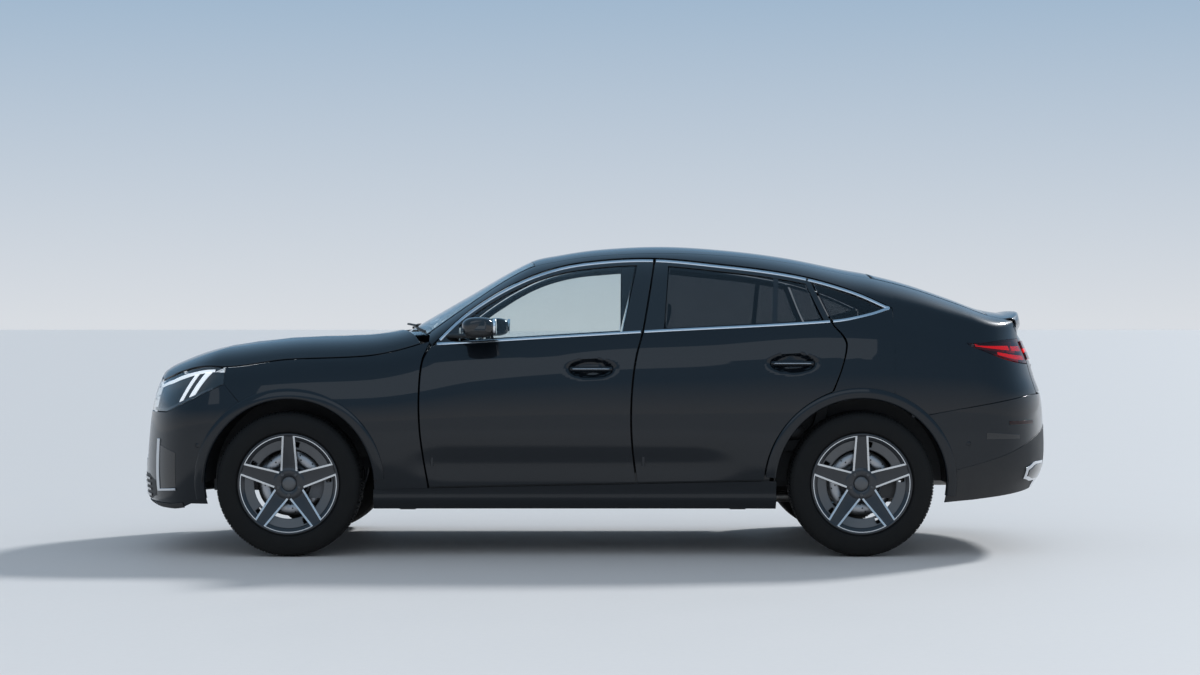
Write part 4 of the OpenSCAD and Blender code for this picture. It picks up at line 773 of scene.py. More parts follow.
def frontFrameLines():
    n = 56
    top = along("windowTop", pillarX + 118) - pane["top"]
    x = np.linspace(frontAxle + 738, pillarX + 118, n)
    z = np.linspace(top, along("belt", pillarX) - pane["underBelt"], 14)[1:]
    start = frontAxle + 722
    outer = np.concatenate([[[start, along("belt", start) - pane["underBelt"]]],
                            np.stack([x, along("windowTop", x) - pane["top"]], 1),
                            np.stack([middleCut(z) - b["doorGap"] / 2, z], 1)])
    under = pane["top"] + pane["frame"]
    end = along("windowTop", pillarX + 36) - under
    xi = np.linspace(pane["sail"], frontPaneRear(end), n)
    zi = np.linspace(end, along("belt", pillarX) - pane["underBelt"], 14)[1:]
    inner = np.concatenate([[[pane["sail"], along("belt", pane["sail"]) - pane["underBelt"]]],
                            np.stack([xi, along("windowTop", xi) - under], 1),
                            np.stack([frontPaneRear(zi), zi], 1)])
    return outer, inner


def rearFrameLines():
    n = 44
    x0, x1 = pillarX + 132, rearAxle - 262
    z0, z1 = along("windowTop", x0) - pane["top"], along("windowTop", x1) - pane["top"]
    low0 = along("belt", pillarX) - pane["underBelt"]
    low1 = along("belt", rearAxle - 160) - pane["underBelt"]
    za, zb = np.linspace(low0, z0, 14)[:-1], np.linspace(z1, low1, 14)[1:]
    x = np.linspace(x0, x1, n)
    outer = np.concatenate([np.stack([middleCut(za) + b["doorGap"] / 2, za], 1),
                            np.stack([x, along("windowTop", x) - pane["top"]], 1),
                            np.stack([rearCut(zb) - b["doorGap"] / 2, zb], 1)])
    under = pane["top"] + pane["frame"]
    i0, i1 = along("windowTop", pillarX + 196) - under, along("windowTop", rearAxle - 292) - under
    za, zb = np.linspace(low0, i0, 14)[:-1], np.linspace(i1, low1, 14)[1:]
    xi = np.linspace(rearPaneFront(i0), rearPaneRear(i1), n)
    inner = np.concatenate([np.stack([rearPaneFront(za), za], 1),
                            np.stack([xi, along("windowTop", xi) - under], 1),
                            np.stack([rearPaneRear(zb), zb], 1)])
    return outer, inner


def frameGrid(linesPair, sign):
    outer, inner = linesPair
    v = np.linspace(0, 1, 5)[None, :, None]
    return onGlassHouse(outer[:, None] * (1 - v) + inner[:, None] * v, sign)


def paneGrid(kind, sign):
    sink = lambda x, z: upperY(x, z) - pane["sink"]
    high = lambda x: along("windowTop", x) - pane["top"] - pane["frame"] + 6
    if kind == "front":
        a, c = pane["sail"] - 6, pillarX - 2
        place = lambda x, z: x + (x - a) / (c - a) * (frontPaneRear(z) + 4 - c)
    else:
        a, c = pillarX + 180, rearAxle - 200

        def place(x, z):
            u = (x - a) / (c - a)
            return x + (1 - u) * (rearPaneFront(z) - 4 - a) + u * (rearPaneRear(z) + 2 - c)
    return sidePanel(np.linspace(a, c, 48), 24, lambda x: along("belt", x) - 6, high, place, sink, sign)


windows = (("front", frontFrameLines, "clearGlass", "clear_glass"),
           ("rear", rearFrameLines, "darkGlass", "dark_glass"))
for kind, lineMaker, glass, slot in windows:
    for sideName, s in bodySides:
        tag = kind + "_" + sideName
        skin("windowFrame_" + tag, [frameGrid(lineMaker(), s)], (0, s, 0), pane["frameThick"], "glossBlack",
             "door_" + tag, "trim", lip=1.5)
        skin("pane_" + tag, [paneGrid(kind, s)], (0, s, 0), pane["glassThick"], glass, "door_" + tag, slot,
             ["glass_" + tag], lip=0)

# bar that splits the rear side window
barX = (912, 928)
for sideName, s in bodySides:
    z = np.linspace(along("belt", 915) - 4, along("windowTop", barX[1]) - pane["top"] - 26, 20)
    x = lerp(*barX, (z - z[0]) / (z[-1] - z[0]))
    grid = np.stack([np.stack([x + d, s * (upperY(x + d, z) - 3), z], 1) for d in (-13, -4, 4, 13)])
    skin("windowBar_" + sideName, [grid], (0, s, 0), 12, "glossBlack", "door_rear_" + sideName, "trim",
         lip=1.5)
print("doors and windows ready")

# rear flank, rail and roof
flankSpec = {"rows": 26, "railRows": 22, "thick": 8.0, "gateEdge": b["gateHalf"] + 5, "archX": rearAxle + 256,
             "lampX": rearAxle + 530, "turns": 40}
gateCorner = float(rearX(flankSpec["gateEdge"], 1100))


def railSection(x, low, rows):  # points from the window edge up to the roof edge
    x = np.asarray(x, float)[:, None]
    edge = along("edge", x) + 1.5
    top = roofZ(x, edge)
    z0 = np.minimum(low, top - 12)
    knee = lerp(z0, top, 0.62)
    half = rows // 2
    v = shares(half)
    zLow = lerp(z0, knee, v)
    yLow = cornerY(x, zLow) if low.min() < 0 else np.where(x > tipX, cornerY(x, zLow), upperY(x, zLow))
    w = np.linspace(0, 1, rows - half + 1)[None, 1:]
    yEnd = np.minimum(edge, yLow[:, -1:] - 2)
    yHigh = lerp(yLow[:, -1:], yEnd, w)
    zHigh = np.maximum(roofZ(x, yHigh), knee)
    return (np.concatenate([np.broadcast_to(x, zLow.shape), np.broadcast_to(x, zHigh.shape)], 1),
            np.concatenate([yLow, yHigh], 1), np.concatenate([zLow, zHigh], 1))


def quarterLow(x):
    arch = wheelZ + np.sqrt(np.maximum(b["rearArch"] ** 2 - (x - rearAxle) ** 2, 0))
    return np.where(x < flankSpec["archX"], arch, bumperTop(x) + b["seam"])


def cornerTurn(z):  # turn at which the tail corner reaches the tailgate
    return np.degrees(np.arcsin(np.clip((flankSpec["gateEdge"] / sideY(tailCorner, z)) ** 1.2, 0, 1)))


def lampTopLine(x):
    return lerp(along("shoulder", x), along("tailLamp", x),
                ease(x, flankSpec["lampX"], flankSpec["lampX"] + 26))


def flankGrids(s):
    n, archX, lampX = flankSpec["rows"], flankSpec["archX"], flankSpec["lampX"]
    v = np.linspace(0, 1, n + 1)
    start = rearAxle - 138
    xs = np.linspace(start, tipX, 44)
    place = lambda x, z: x + np.maximum(1 - (x - start) / 330, 0) * (rearCut(z) + b["doorGap"] / 2 - start)
    ahead = sidePanel(xs, n, quarterLow, lambda x: along("belt", x) - 0.5, place, skinY, s)
    ahead[-1, -1, 2] = tipZ
    xs = np.concatenate([np.linspace(tipX, archX, 12)[:-1], np.linspace(archX, lampX, 26)])
    x = np.repeat(xs[:, None], n + 1, 1)
    z = lerp(quarterLow(x), np.where(x <= tipX, tipZ, shoulderZ(x)), v)
    behind = np.stack([x, s * cornerY(x, z), z], -1)
    rx, ry, rz = railSection(xs, shoulderZ(xs)[:, None], flankSpec["railRows"])
    rail = np.stack([rx, s * ry, rz], -1)
    rail[:, 0] = behind[:, -1]
    xs2 = np.linspace(lampX, tailCorner, 6)
    x = np.repeat(xs2[:, None], n + 1, 1)
    z = lerp(quarterLow(x), lampTopLine(x), v)
    tailSide = np.stack([x, s * cornerY(x, z), z], -1)
    tailSide[0] = behind[-1]
    turn = np.linspace(0, 1, flankSpec["turns"])[:, None]
    zc = np.broadcast_to(lerp(b["split"] - 1, 975, v)[None, :], (len(turn), n + 1))
    for _ in range(3):
        t = lerp(90, cornerTurn(zc), turn)
        cx, cy = tailPoint(t, zc)
        zc = lerp(bumperTop(cx[:, :1]) + b["seam"], along("tailLamp", cx[:, -1:]), v[None, :])
    cx, cy = tailPoint(lerp(90, cornerTurn(zc), turn), zc)
    corner = np.stack([cx, s * cy, zc], -1)
    corner[0] = tailSide[-1]
    xs3 = np.concatenate([np.linspace(lampX, tailCorner, 12)[:-1], np.linspace(tailCorner, gateCorner, 34)])
    hx, hy, hz = railSection(xs3, shoulderZ(xs3)[:, None], flankSpec["railRows"])
    high = np.stack([hx, s * hy, hz], -1)
    high[0] = rail[-1]
    front = np.concatenate([np.linspace(frontAxle + 700, headerX, 50)[:-1],
                            np.linspace(headerX, gateX, 50)[:-1],
                            np.linspace(gateX, tipX, 8)])
    fx, fy, fz = railSection(front, (shoulderZ(front) + 3)[:, None], flankSpec["railRows"])
    rest = np.stack([fx, s * fy, fz], -1)
    rest[-1] = rail[0]
    return [ahead, behind, rail, tailSide, corner, high, rest]


for sideName, s in bodySides:
    skin("flank_" + sideName, flankGrids(s), (0, s, 0.4), flankSpec["thick"], "paint", "body", "paint",
         ["quarter_" + sideName, "rail_" + sideName])

roof = {"across": 44, "rows": 50, "thick": 10.0}


def headerLine(e):
    return headerX + 40 * e ** 2


def glassHouseGrid(front, back, across, rows, gap):
    e = np.linspace(-1, 1, across + 1)[:, None]
    x = lerp(front(e), back(e), shares(rows))
    y = e * (along("edge", x) - gap)
    return np.stack([x, y, roofZ(x, y)], -1)


roofGrid = glassHouseGrid(lambda e: headerLine(e) + 3, lambda e: gateX - b["gateGap"] + 0 * e, roof["across"],
                          roof["rows"], 2.0)
skin("roofSkin", [roofGrid], (0, 0, 1), roof["thick"], "paint", "body", "paint", ["roof"], inner="lining")
screenGrid = glassHouseGrid(lambda e: cowlX + 180 * e ** 2, headerLine, 60, 60, 4.0)
skin("windscreenPane", [screenGrid], (-0.4, 0, 1), 5, "clearGlass", "body", "clear_glass", ["windscreen"],
     lip=0)
print("roof and flanks ready")

# sills and arch lips
sillSpec = {"rows": 26, "columns": 70, "thick": 6.0, "gap": 9.0, "crease": 285.0}
for sideName, s in bodySides:
    sillEnds = (frontAxle + b["frontArch"] - 6, rearAxle - b["rearArch"] + 4)
    x = np.linspace(*sillEnds, sillSpec["columns"])[:, None]
    v = np.linspace(0, 1, sillSpec["rows"])[None, :]
    z = lerp(b["sill"] - 4, doorLow(x) - sillSpec["gap"], v)
    y = sideY(x, z) + 7 * bump(z, sillSpec["crease"], 26) - 10 * ease(-z, -262, -236)
    grid = np.stack([np.broadcast_to(x, z.shape), s * y, z], -1)
    skin("sillCover_" + sideName, [grid], (0, s, 0), sillSpec["thick"], "paint", "body", "paint")

archSpec = {"steps": 96, "thick": 5.0, "front": (3, 190), "rear": (-8, 176),
            "lip": [(52, 1.4), (51, 5.5), (47, 8.0), (30, 9.2), (12, 8.6), (2, 7.2), (-2, 2.0), (-3, -16.0)]}
for sideName, s in bodySides:
    archGrids = []
    for centre, radius, span in ((frontAxle, b["frontArch"], archSpec["front"]),
                                 (rearAxle, b["rearArch"], archSpec["rear"])):
        a = np.radians(np.linspace(span[0], span[1], archSpec["steps"]))[:, None]
        q = radius + np.array([p[0] for p in archSpec["lip"]])[None, :]
        x, z = centre + q * np.cos(a), wheelZ + q * np.sin(a)
        y = skinY(x, z) + np.array([p[1] for p in archSpec["lip"]])[None, :]
        archGrids.append(np.stack([x, s * y, z], -1))
    skin("archLip_" + sideName, archGrids, (0, s, 0), archSpec["thick"], "paint", "body", "paint",
         ["arch_trims"] if s < 0 else [], lip=1.0)
print("sills and arches ready")


# bright strip round the side windows
strip = {"lift": 2.0, "underTop": 15, "overBelt": 6, "endX": tipX - 34,
         "profile": [(-8, -2), (-8, 2), (-6.5, 4.2), (-2, 5.2), (2, 5.2), (6.5, 4.2), (8, 2), (8, -2)]}


def stripPiece(name, line, sign, body):
    path = onGlassHouse(line, sign, strip["lift"])
    tangent = np.gradient(path, axis=0)
    tangent /= np.linalg.norm(tangent, axis=1, keepdims=True)
    lean = np.array([0.0, sign * 0.92, 0.38])
    across = np.cross(tangent, lean)
    across /= np.linalg.norm(across, axis=1, keepdims=True)
    up = np.cross(across, tangent)
    up *= np.sign((up * lean).sum(1, keepdims=True))
    return solid(name, sweep(path, across, up, strip["profile"]), "satinStrip", body, "trim", lip=0.6)


def topLine(x):
    return np.stack([x, along("windowTop", x) - strip["underTop"]], 1)


def beltLine(x):
    return np.stack([x, along("belt", x) + strip["overBelt"]], 1)


for sideName, s in bodySides:
    front, rear, endX = "door_front_" + sideName, "door_rear_" + sideName, strip["endX"]
    stripPiece("stripTopFront_" + sideName, topLine(np.linspace(frontAxle + 756, pillarX + 117, 70)), s,
               front)
    stripPiece("stripLowFront_" + sideName, beltLine(np.linspace(frontAxle + 742, pillarX + 50, 50)), s,
               front)
    stripPiece("stripTopRear_" + sideName, topLine(np.linspace(pillarX + 133, rearAxle - 264, 50)), s, rear)
    stripPiece("stripLowRear_" + sideName, beltLine(np.linspace(pillarX + 68, rearAxle - 154, 50)), s, rear)
    low = np.linspace(rearAxle - 138, endX, 30)
    high = np.linspace(endX, rearAxle - 254, 30)
    a = np.radians(np.linspace(-80, 80, 9))
    zLow, zHigh = along("belt", endX) + strip["overBelt"], along("windowTop", endX) - 12
    bend = np.stack([endX + 14 * np.cos(a), lerp(zLow, zHigh, (np.sin(a) + 1) / 2)], 1)
    under = lerp(12, strip["underTop"], ease(-high, -1400, -1250))
    line = np.concatenate([beltLine(low), bend, np.stack([high, along("windowTop", high) - under], 1)])
    stripPiece("stripQuarter_" + sideName, line, s, "body")
    xs = np.linspace(rearAxle - 205, rearAxle + 118, 40)
    place = lambda x, z: x + np.maximum(1 - (x - xs[0]) / 200, 0) * (rearCut(z) + b["doorGap"] / 2 - xs[0])
    grid = sidePanel(xs, 12, lambda x: along("belt", x) + 1, lambda x: along("windowTop", x) - 6, place,
                     lambda x, z: upperY(x, z) - pane["sink"], s)
    skin("quarterPane_" + sideName, [grid], (0, s, 0), 4, "darkGlass", "body", "dark_glass",
         ["quarter_glass"] if s < 0 else [], lip=0)
print("window strips ready")


# nose: bumper, grille and head lamps
nose = {"opening": 30.5, "openingLow": 470.0, "openingRows": 14, "rows": 17, "thick": 6.0, "low": 236.0,
        "sideTurn": 70, "sideLow": 262}
noseEnd = (nosePoint, -1)
tailEnd = (tailPoint, 1)


def endGrid(point, turns, low, high, rows, sign, back=0.0):  # grid on the nose or the tail
    t = np.asarray(turns, float)[:, None]
    low, high = (np.broadcast_to(np.asarray(h, float), t[:, 0].shape)[:, None] for h in (low, high))
    z = lerp(low, high, shares(rows))
    x, y = point(t, z)
    return np.stack([x + back, sign * y, z], -1)


def overlay(name, end, turns, low, high, sign, lift, finish, thick, rows, lip):
    # thin trim laid on the nose or the tail
    point, way = end
    grid = offsetGrid(endGrid(point, turns, low, high, rows, sign), lift, (way, sign * 0.6, 0))
    return skin(name, [grid], (way, sign * 0.4, 0), thick, finish, "body", "trim", lip=lip)


def noseLow(t):
    return nose["low"] + 26 * np.maximum((np.asarray(t, float) - 60) / 30, 0)


def noseHigh(t):
    return lampLow(nosePoint(np.asarray(t, float), 800)[0]) - b["seam"]


def noseSideGrid(sign):  # from the corner back to the wheel arch
    r = b["frontArch"]
    arch = lambda z: frontAxle - np.maximum(np.sqrt(np.maximum(r ** 2 - (z - wheelZ) ** 2, 0)), r / 2 + 3)
    turn, split = nose["sideTurn"], nose["openingLow"]
    start, end = float(nosePoint(turn, 800)[0]), seamX - 3
    x0 = np.linspace(start, end, 40)[:, None]
    u = (x0 - start) / (end - start)
    topEdge = np.where(x0 < noseCorner + 28, lampLow(x0), fenderLow(x0)) - b["seam"]
    low = lerp(noseLow(turn), nose["sideLow"], np.minimum(3 * u, 1))
    v1 = shares(nose["openingRows"])
    v2 = np.linspace(0, 1, nose["rows"] + 1)[None, 1:]
    z = np.concatenate([lerp(low, split, v1), lerp(split, topEdge, v2)], 1)
    x = lerp(nosePoint(turn, z)[0], arch(z), u)
    return np.stack([x, sign * sideY(x, z), z], -1)


bumperGrids = []
middle = np.linspace(0, nose["opening"], 34)
outerTurns = np.linspace(nose["opening"], nose["sideTurn"], 44)
for s in (-1, 1):
    split, rows = nose["openingLow"], nose["openingRows"]
    bumperGrids.append(endGrid(nosePoint, middle, noseLow(middle), split, rows, s))
    lowPart = endGrid(nosePoint, outerTurns, noseLow(outerTurns), split, rows, s)
    highPart = endGrid(nosePoint, outerTurns, split, noseHigh(outerTurns), nose["rows"], s)
    bumperGrids.append(np.concatenate([lowPart, highPart[:, 1:]], 1))
    sideGrid = noseSideGrid(s)
    sideGrid[0] = bumperGrids[-1][-1]
    bumperGrids.append(sideGrid)
skin("frontBumperSkin", bumperGrids, (-1, 0, 0), nose["thick"], "paint", "body", "paint", ["front_bumper"],
     inner="plastic")

# trim laid on the nose and the tail: turns as first, last and columns; the heights move along the piece
trims = {
    "lowIntake": {"turns": (0, 46, 40), "z": (268, 400), "move": (23, -27.6), "over": (34, 46), "lift": 1.2,
                  "finish": "plastic", "thick": 2, "rows": 16, "lip": 0.6},
    "sideIntake": {"turns": (50, 66, 20), "z": (330, 560), "move": (14, -40), "lift": 1.2,
                   "finish": "glossBlack",
                   "thick": 2, "rows": 16, "lip": 0.6},
    "intakeWing": {"turns": (48.5, 51.5, 6), "z": (322, 588), "lift": 6, "finish": "satinStrip", "rows": 24},
    "intakeBlade": {"turns": (48.5, 66, 20), "z": (318, 330), "move": (10, 10), "lift": 6,
                    "finish": "satinStrip",
                    "rows": 4},
    "diffuser": {"turns": (0, 38, 30), "z": (330, 392), "move": (0, -20), "over": (26, 38), "lift": 8,
                 "finish": "satinStrip"},
    "tailPipeTrim": {"turns": (33, 56, 24), "z": (372, 470), "move": (14, -26), "over": (46, 56), "lift": 9,
                     "finish": "satinStrip", "thick": 8},
    "tailPipeMouth": {"turns": (35.5, 53, 20), "z": (384, 456), "move": (14, -26), "over": (44, 53),
                      "lift": 12,
                      "finish": "glossBlack", "thick": 5},
    "bumperVent": {"turns": (62, 84, 20), "z": (592, 612), "move": (0, 14), "lift": 1.5,
                   "finish": "glossBlack",
                   "thick": 3, "rows": 6, "lip": 1.0},
    "rearReflector": {"turns": (48, 70, 24), "z": (664, 682), "lift": 2.5, "finish": "redLens", "thick": 4,
                      "rows": 4, "lip": 1.0},
}


def trimPieces(names, end, sideName, sign):
    for name in names:
        spec = trims[name]
        turns = np.linspace(*spec["turns"])
        share = ease(turns, *spec["over"]) if "over" in spec else np.linspace(0, 1, len(turns))
        low, high = (z + move * share for z, move in zip(spec["z"], spec.get("move", (0, 0))))
        overlay(name + "_" + sideName, end, turns, low, high, sign, spec["lift"], spec["finish"],
                spec.get("thick", 6), spec.get("rows", 14), spec.get("lip", 1.5))


intake = {"slats": 4, "slatZ": (292, 376), "slatHalf": 6, "slatTurns": np.linspace(0, 46, 40)[:34],
          "lipTurns": np.linspace(0, nose["sideTurn"], 60), "lipZ": (-3, 22)}
for sideName, s in bodySides:
    trimPieces(("lowIntake",), noseEnd, sideName, s)
    for k in range(intake["slats"]):
        z = lerp(*intake["slatZ"], k / (intake["slats"] - 1))
        overlay("intakeSlat_%s_%d" % (sideName, k), noseEnd, intake["slatTurns"], z - intake["slatHalf"],
                z + intake["slatHalf"], s, 7, "glossBlack", 5, 4, 1.0)
    low, high = (noseLow(intake["lipTurns"]) + move for move in intake["lipZ"])
    overlay("frontLip_" + sideName, noseEnd, intake["lipTurns"], low, high, s, 5, "plastic", 8, 6, 2.5)
    trimPieces(("sideIntake", "intakeWing", "intakeBlade"), noseEnd, sideName, s)

grille = {"slats": 6, "back": 30.0, "slatHigh": 11.0, "ring": 14.0, "low": 474.0, "underLip": 12}


def bonnetLip(turns):  # height of the bonnet's front edge above a turn of the nose
    y = nosePoint(np.asarray(turns, float), 900)[1]
    return np.minimum(topZ(hoodFront(np.minimum(y, hoodHalf)), np.minimum(y, hoodHalf - 4)), 920)


grilleTurns = np.linspace(-nose["opening"] + 0.6, nose["opening"] - 0.6, 61)
grilleTop = bonnetLip(np.abs(grilleTurns)) - grille["underLip"]
signs = np.where(grilleTurns < 0, -1, 1)


def grilleStrip(low, high, back, rows):
    low, high = (np.broadcast_to(h, grilleTurns.shape)[:, None] for h in (low, high))
    z = lerp(low, high, shares(rows))
    x, y = nosePoint(np.abs(grilleTurns)[:, None], z)
    return np.stack([x + back, signs[:, None] * y * 0.992, z], -1)


ahead = (-1, 0, 0)
skin("grilleBack", [grilleStrip(grille["low"], grilleTop, grille["back"], 20)], ahead, 8, "plastic", "body",
     "trim",
     ["grille"], lip=0)
slatGrids = []
for k in range(grille["slats"]):
    mid = lerp(grille["low"] + 18, grilleTop - 16, (k + 0.5) / grille["slats"])
    slatGrids.append(grilleStrip(mid - grille["slatHigh"] / 2, mid + grille["slatHigh"] / 2, 10.0, 3))
skin("grilleSlats", slatGrids, ahead, 14, "glossBlack", "body", "trim", lip=2.0)
edgeGrids = [offsetGrid(g[:, 1:3], 1.0, ahead) for g in slatGrids]
skin("grilleSlatEdges", edgeGrids, ahead, 1.5, "satinStrip", "body", "trim", lip=0.4)
ringLow = grille["low"] - 2
rimGrids = [grilleStrip(ringLow, ringLow + grille["ring"], 2.0, 3),
            grilleStrip(grilleTop - grille["ring"], grilleTop, 2.0, 3)]
skin("grilleRim", rimGrids, ahead, 16, "satinStrip", "body", "trim", lip=2.0)
for sideName, s in bodySides:
    turns = np.linspace(nose["opening"] - 1.5, nose["opening"] - 0.4, 4)
    grid = endGrid(nosePoint, turns, grille["low"], bonnetLip(turns) - grille["underLip"], 30, s, 2.0)
    skin("grilleCheek_" + sideName, [grid], ahead, 16, "satinStrip", "body", "trim", lip=1.5)

lamp = {"inner": nose["opening"] + 0.7, "outer": 89.9, "depth": 34.0, "shell": 3.0, "bladeSink": 12,
        "bladeLean": 9, "blades": ((0.58, 0.63), (0.71, 0.78))}


def lampTop(turns):
    x, y = nosePoint(np.asarray(turns, float), 860)
    front = topZ(hoodFront(np.minimum(y, hoodHalf)), np.minimum(y, hoodHalf))
    return np.where(y < hoodHalf, front, hoodSideZ(np.maximum(x, noseX + 150))) - b["lidGap"]


def lampTurns(start, end, columns):
    return np.linspace(lerp(lamp["inner"], lamp["outer"], start), lerp(lamp["inner"], lamp["outer"], end),
                       columns)


def lampGrid(sign, low=0.0, high=1.0, start=0.0, end=1.0, rows=22, columns=52, sink=0.0):
    turns = lampTurns(start, end, columns)
    bottom, top = lampLow(nosePoint(turns, 800)[0]) + 1, lampTop(turns)
    grid = endGrid(nosePoint, turns, lerp(bottom, top, low), lerp(bottom, top, high), rows, sign)
    if end >= 1.0:
        x = np.linspace(noseCorner, noseCorner + 26, 6)[1:, None]
        v = np.linspace(low, high, rows + 1)[None, :]
        z = lerp(lampLow(x) + 1, hoodSideZ(x) - b["lidGap"], v)
        grid = np.concatenate([grid, np.stack([np.broadcast_to(x, z.shape), sign * sideY(x, z), z], -1)])
    return offsetGrid(grid, -sink, (-1, sign, 0)) if sink else grid


def lampBlade(sign, start, end):  # leaning light guide
    shear = np.linspace(0, 1, 17)[None, :]
    turns = lampTurns(start, end, 6)[:, None] + lamp["bladeLean"] * shear
    z = lerp(lampLow(nosePoint(turns, 800)[0]) + 1, lampTop(turns), lerp(0.14, 0.84, shear))
    x, y = nosePoint(turns, z)
    return offsetGrid(np.stack([x, sign * y, z], -1), -lamp["bladeSink"], (-1, sign, 0))


for sideName, s in bodySides:
    out = (-1, s, 0)
    skin("headLampCover_" + sideName, [lampGrid(s)], out, lamp["shell"], "lampGlass", "body", "head_lamp",
         ["headlamps"] if s < 0 else [], lip=0.8)
    skin("headLampBowl_" + sideName, [lampGrid(s, 0.02, 0.98, sink=lamp["depth"])], out, 3, "plastic", "body",
         "trim", lip=0)
    skin("headLampBrow_" + sideName, [lampGrid(s, 0.84, 0.94, 0.04, 0.96, 4, 40, 9)], out, 5, "whiteGlow",
         "body",
         "head_lamp", lip=1.2)
    for k, (start, end) in enumerate(lamp["blades"]):
        skin("headLampBlade_%s_%d" % (sideName, k), [lampBlade(s, start, end)], out, 5, "whiteGlow", "body",
             "head_lamp", lip=1.0)
    skin("headLampLedge_" + sideName, [lampGrid(s, 0.02, 0.12, 0.04, 0.96, 4, 40, 12)], out, 6, "aeroGrey",
         "body",
         "trim", lip=1.2)
print("nose ready")

# tail: bumper, tailgate and lamps
tail = {"rows": 24, "thick": 6.0, "skirtRows": 16, "skirtLift": 3, "archX": rearAxle + 256,
        "lowX": rearAxle + 430,
        "skirt": [[rearAxle + 430, 420], [rearAxle + 760, 522], [tailX - 36, 640], [tailX, 655]]}


def tailSideGrid(sign, low, high, rows, lift=0.0):  # from the rear arch back to the corner
    arch = lambda z: rearAxle + np.sqrt(np.maximum(b["rearArch"] ** 2 - (z - wheelZ) ** 2, 0))
    x0 = np.linspace(tailCorner, tail["archX"], 40)[:, None]
    u = (x0 - tailCorner) / (tail["archX"] - tailCorner)
    z = lerp(low(x0, u), high(x0, u), shares(rows))
    x = lerp(tailCorner, arch(z), u)
    return np.stack([x, sign * (sideY(x, z) + lift), z], -1)


def skirtX(u):
    return lerp(tailCorner, tail["lowX"], u)


tailTurns = np.linspace(0, 90, 80)
tailX0 = tailPoint(tailTurns, 600)[0]
tailHigh = bumperTop(tailPoint(tailTurns, 780)[0])
bumperGrids = []
for s in (-1, 1):
    bumperGrids.append(endGrid(tailPoint, tailTurns, bumperLow(tailX0), tailHigh, tail["rows"], s))
    sideGrid = tailSideGrid(s, lambda x, u: bumperLow(skirtX(u)), lambda x, u: bumperTop(x), tail["rows"])
    sideGrid[0] = bumperGrids[-1][-1]
    bumperGrids.append(sideGrid)
skin("rearBumperSkin", bumperGrids, (1, 0, 0), tail["thick"], "paint", "body", "paint", ["rear_bumper"],
     inner="plastic")

for sideName, s in bodySides:
    lift, rows = tail["skirtLift"], tail["skirtRows"]
    grid = endGrid(tailPoint, tailTurns, bumperLow(tailX0) - lift, curve(tail["skirt"], tailX0), rows, s)
    skirt = offsetGrid(grid, lift, (1, s * 0.6, 0))
    sideGrid = tailSideGrid(s, lambda x, u: bumperLow(skirtX(u)) - lift,
                            lambda x, u: np.maximum(curve(tail["skirt"], skirtX(u)), 415), rows, lift)
    sideGrid[0] = skirt[-1]
    skin("rearSkirt_" + sideName, [skirt, sideGrid], (1, s * 0.4, 0), 7, "plastic", "body", "trim", lip=2.0)
    trimPieces(("diffuser", "tailPipeTrim", "tailPipeMouth", "bumperVent", "rearReflector"), tailEnd,
               sideName,
               s)

gate = {"across": 80, "half": b["gateHalf"] - 5, "low": b["split"] + 6, "thick": 9.0, "lip": 14.0,
        "hollow": 16,
        "hollowZ": 1128, "plateDeep": 22, "plateHalf": (270, 300), "plateLow": (838, 852),
        "plateHigh": (958, 972)}


def gateGrid():
    e = np.linspace(-1, 1, gate["across"] + 1)[:, None]
    lipEnd = rearX(e * b["gateHalf"], 1192)
    v = np.linspace(0, 1, 26)[None, :]
    x = lerp(glassEnd + 4, lipEnd - 6, v)
    y = e * (along("edge", x) - b["lidGap"])
    rise = gate["lip"] * ease(v, 0.55, 0.97)  # small spoiler edge
    deck = np.stack([x, y, roofZ(x, y) + rise], -1)
    zs = np.concatenate([np.linspace(1196, 1096, 16), np.linspace(1092, gate["low"], 32)])[None, :]
    yb = np.broadcast_to(e * gate["half"], (gate["across"] + 1, zs.shape[1]))
    z = np.broadcast_to(zs, yb.shape)
    hollow = gate["hollow"] * bump(z, gate["hollowZ"], 26) * ease(1180 - z, 0, 30)
    plate = gate["plateDeep"] * (1 - ease(np.abs(yb), *gate["plateHalf"]))
    plate = plate * ease(z, *gate["plateLow"]) * (1 - ease(z, *gate["plateHigh"]))
    back = np.stack([rearX(yb, z) - hollow - plate, yb, z], -1)
    return np.concatenate([deck, back], 1)


skin("tailgateSkin", [gateGrid()], (0.6, 0, 0.6), gate["thick"], "paint", "tailgate", "paint", ["tailgate"],
     inner="cabin")
rearGlassGrid = glassHouseGrid(lambda e: gateX + 0 * e, lambda e: glassEnd + 0 * e, 48, 40, b["lidGap"])
skin("tailgatePane", [rearGlassGrid], (0, 0, 1), 5, "darkGlass", "tailgate", "dark_glass", ["tailgate_glass"],
     lip=0)


def tailLampGrid(sign, low=0.0, high=1.0, start=0.0, end=1.0, rows=16, columns=44, sink=0.0):
    v = np.linspace(low, high, rows + 1)[None, :]
    share = np.linspace(start, end, columns)[:, None]
    z = np.full((columns, rows + 1), 1040.0)
    for _ in range(3):
        x = tailPoint(lerp(90, cornerTurn(z), share), z)[0]
        x0 = x[:, rows // 2:rows // 2 + 1]
        z = lerp(along("tailLamp", x0) + 2, along("shoulder", x0) - 2, v)
    x, y = tailPoint(lerp(90, cornerTurn(z), share), z)
    grid = np.stack([x, sign * y, z], -1)
    if start == 0.0:
        xs = np.linspace(rearAxle + 536, tailCorner, 6)[:-1, None]
        zs = lerp(lampTopLine(xs) + 1.5, along("shoulder", xs) - 1, v)
        grid = np.concatenate([np.stack([np.broadcast_to(xs, zs.shape), sign * cornerY(xs, zs), zs], -1),
                               grid])
    return offsetGrid(grid, -sink, (1, sign, 0)) if sink else grid


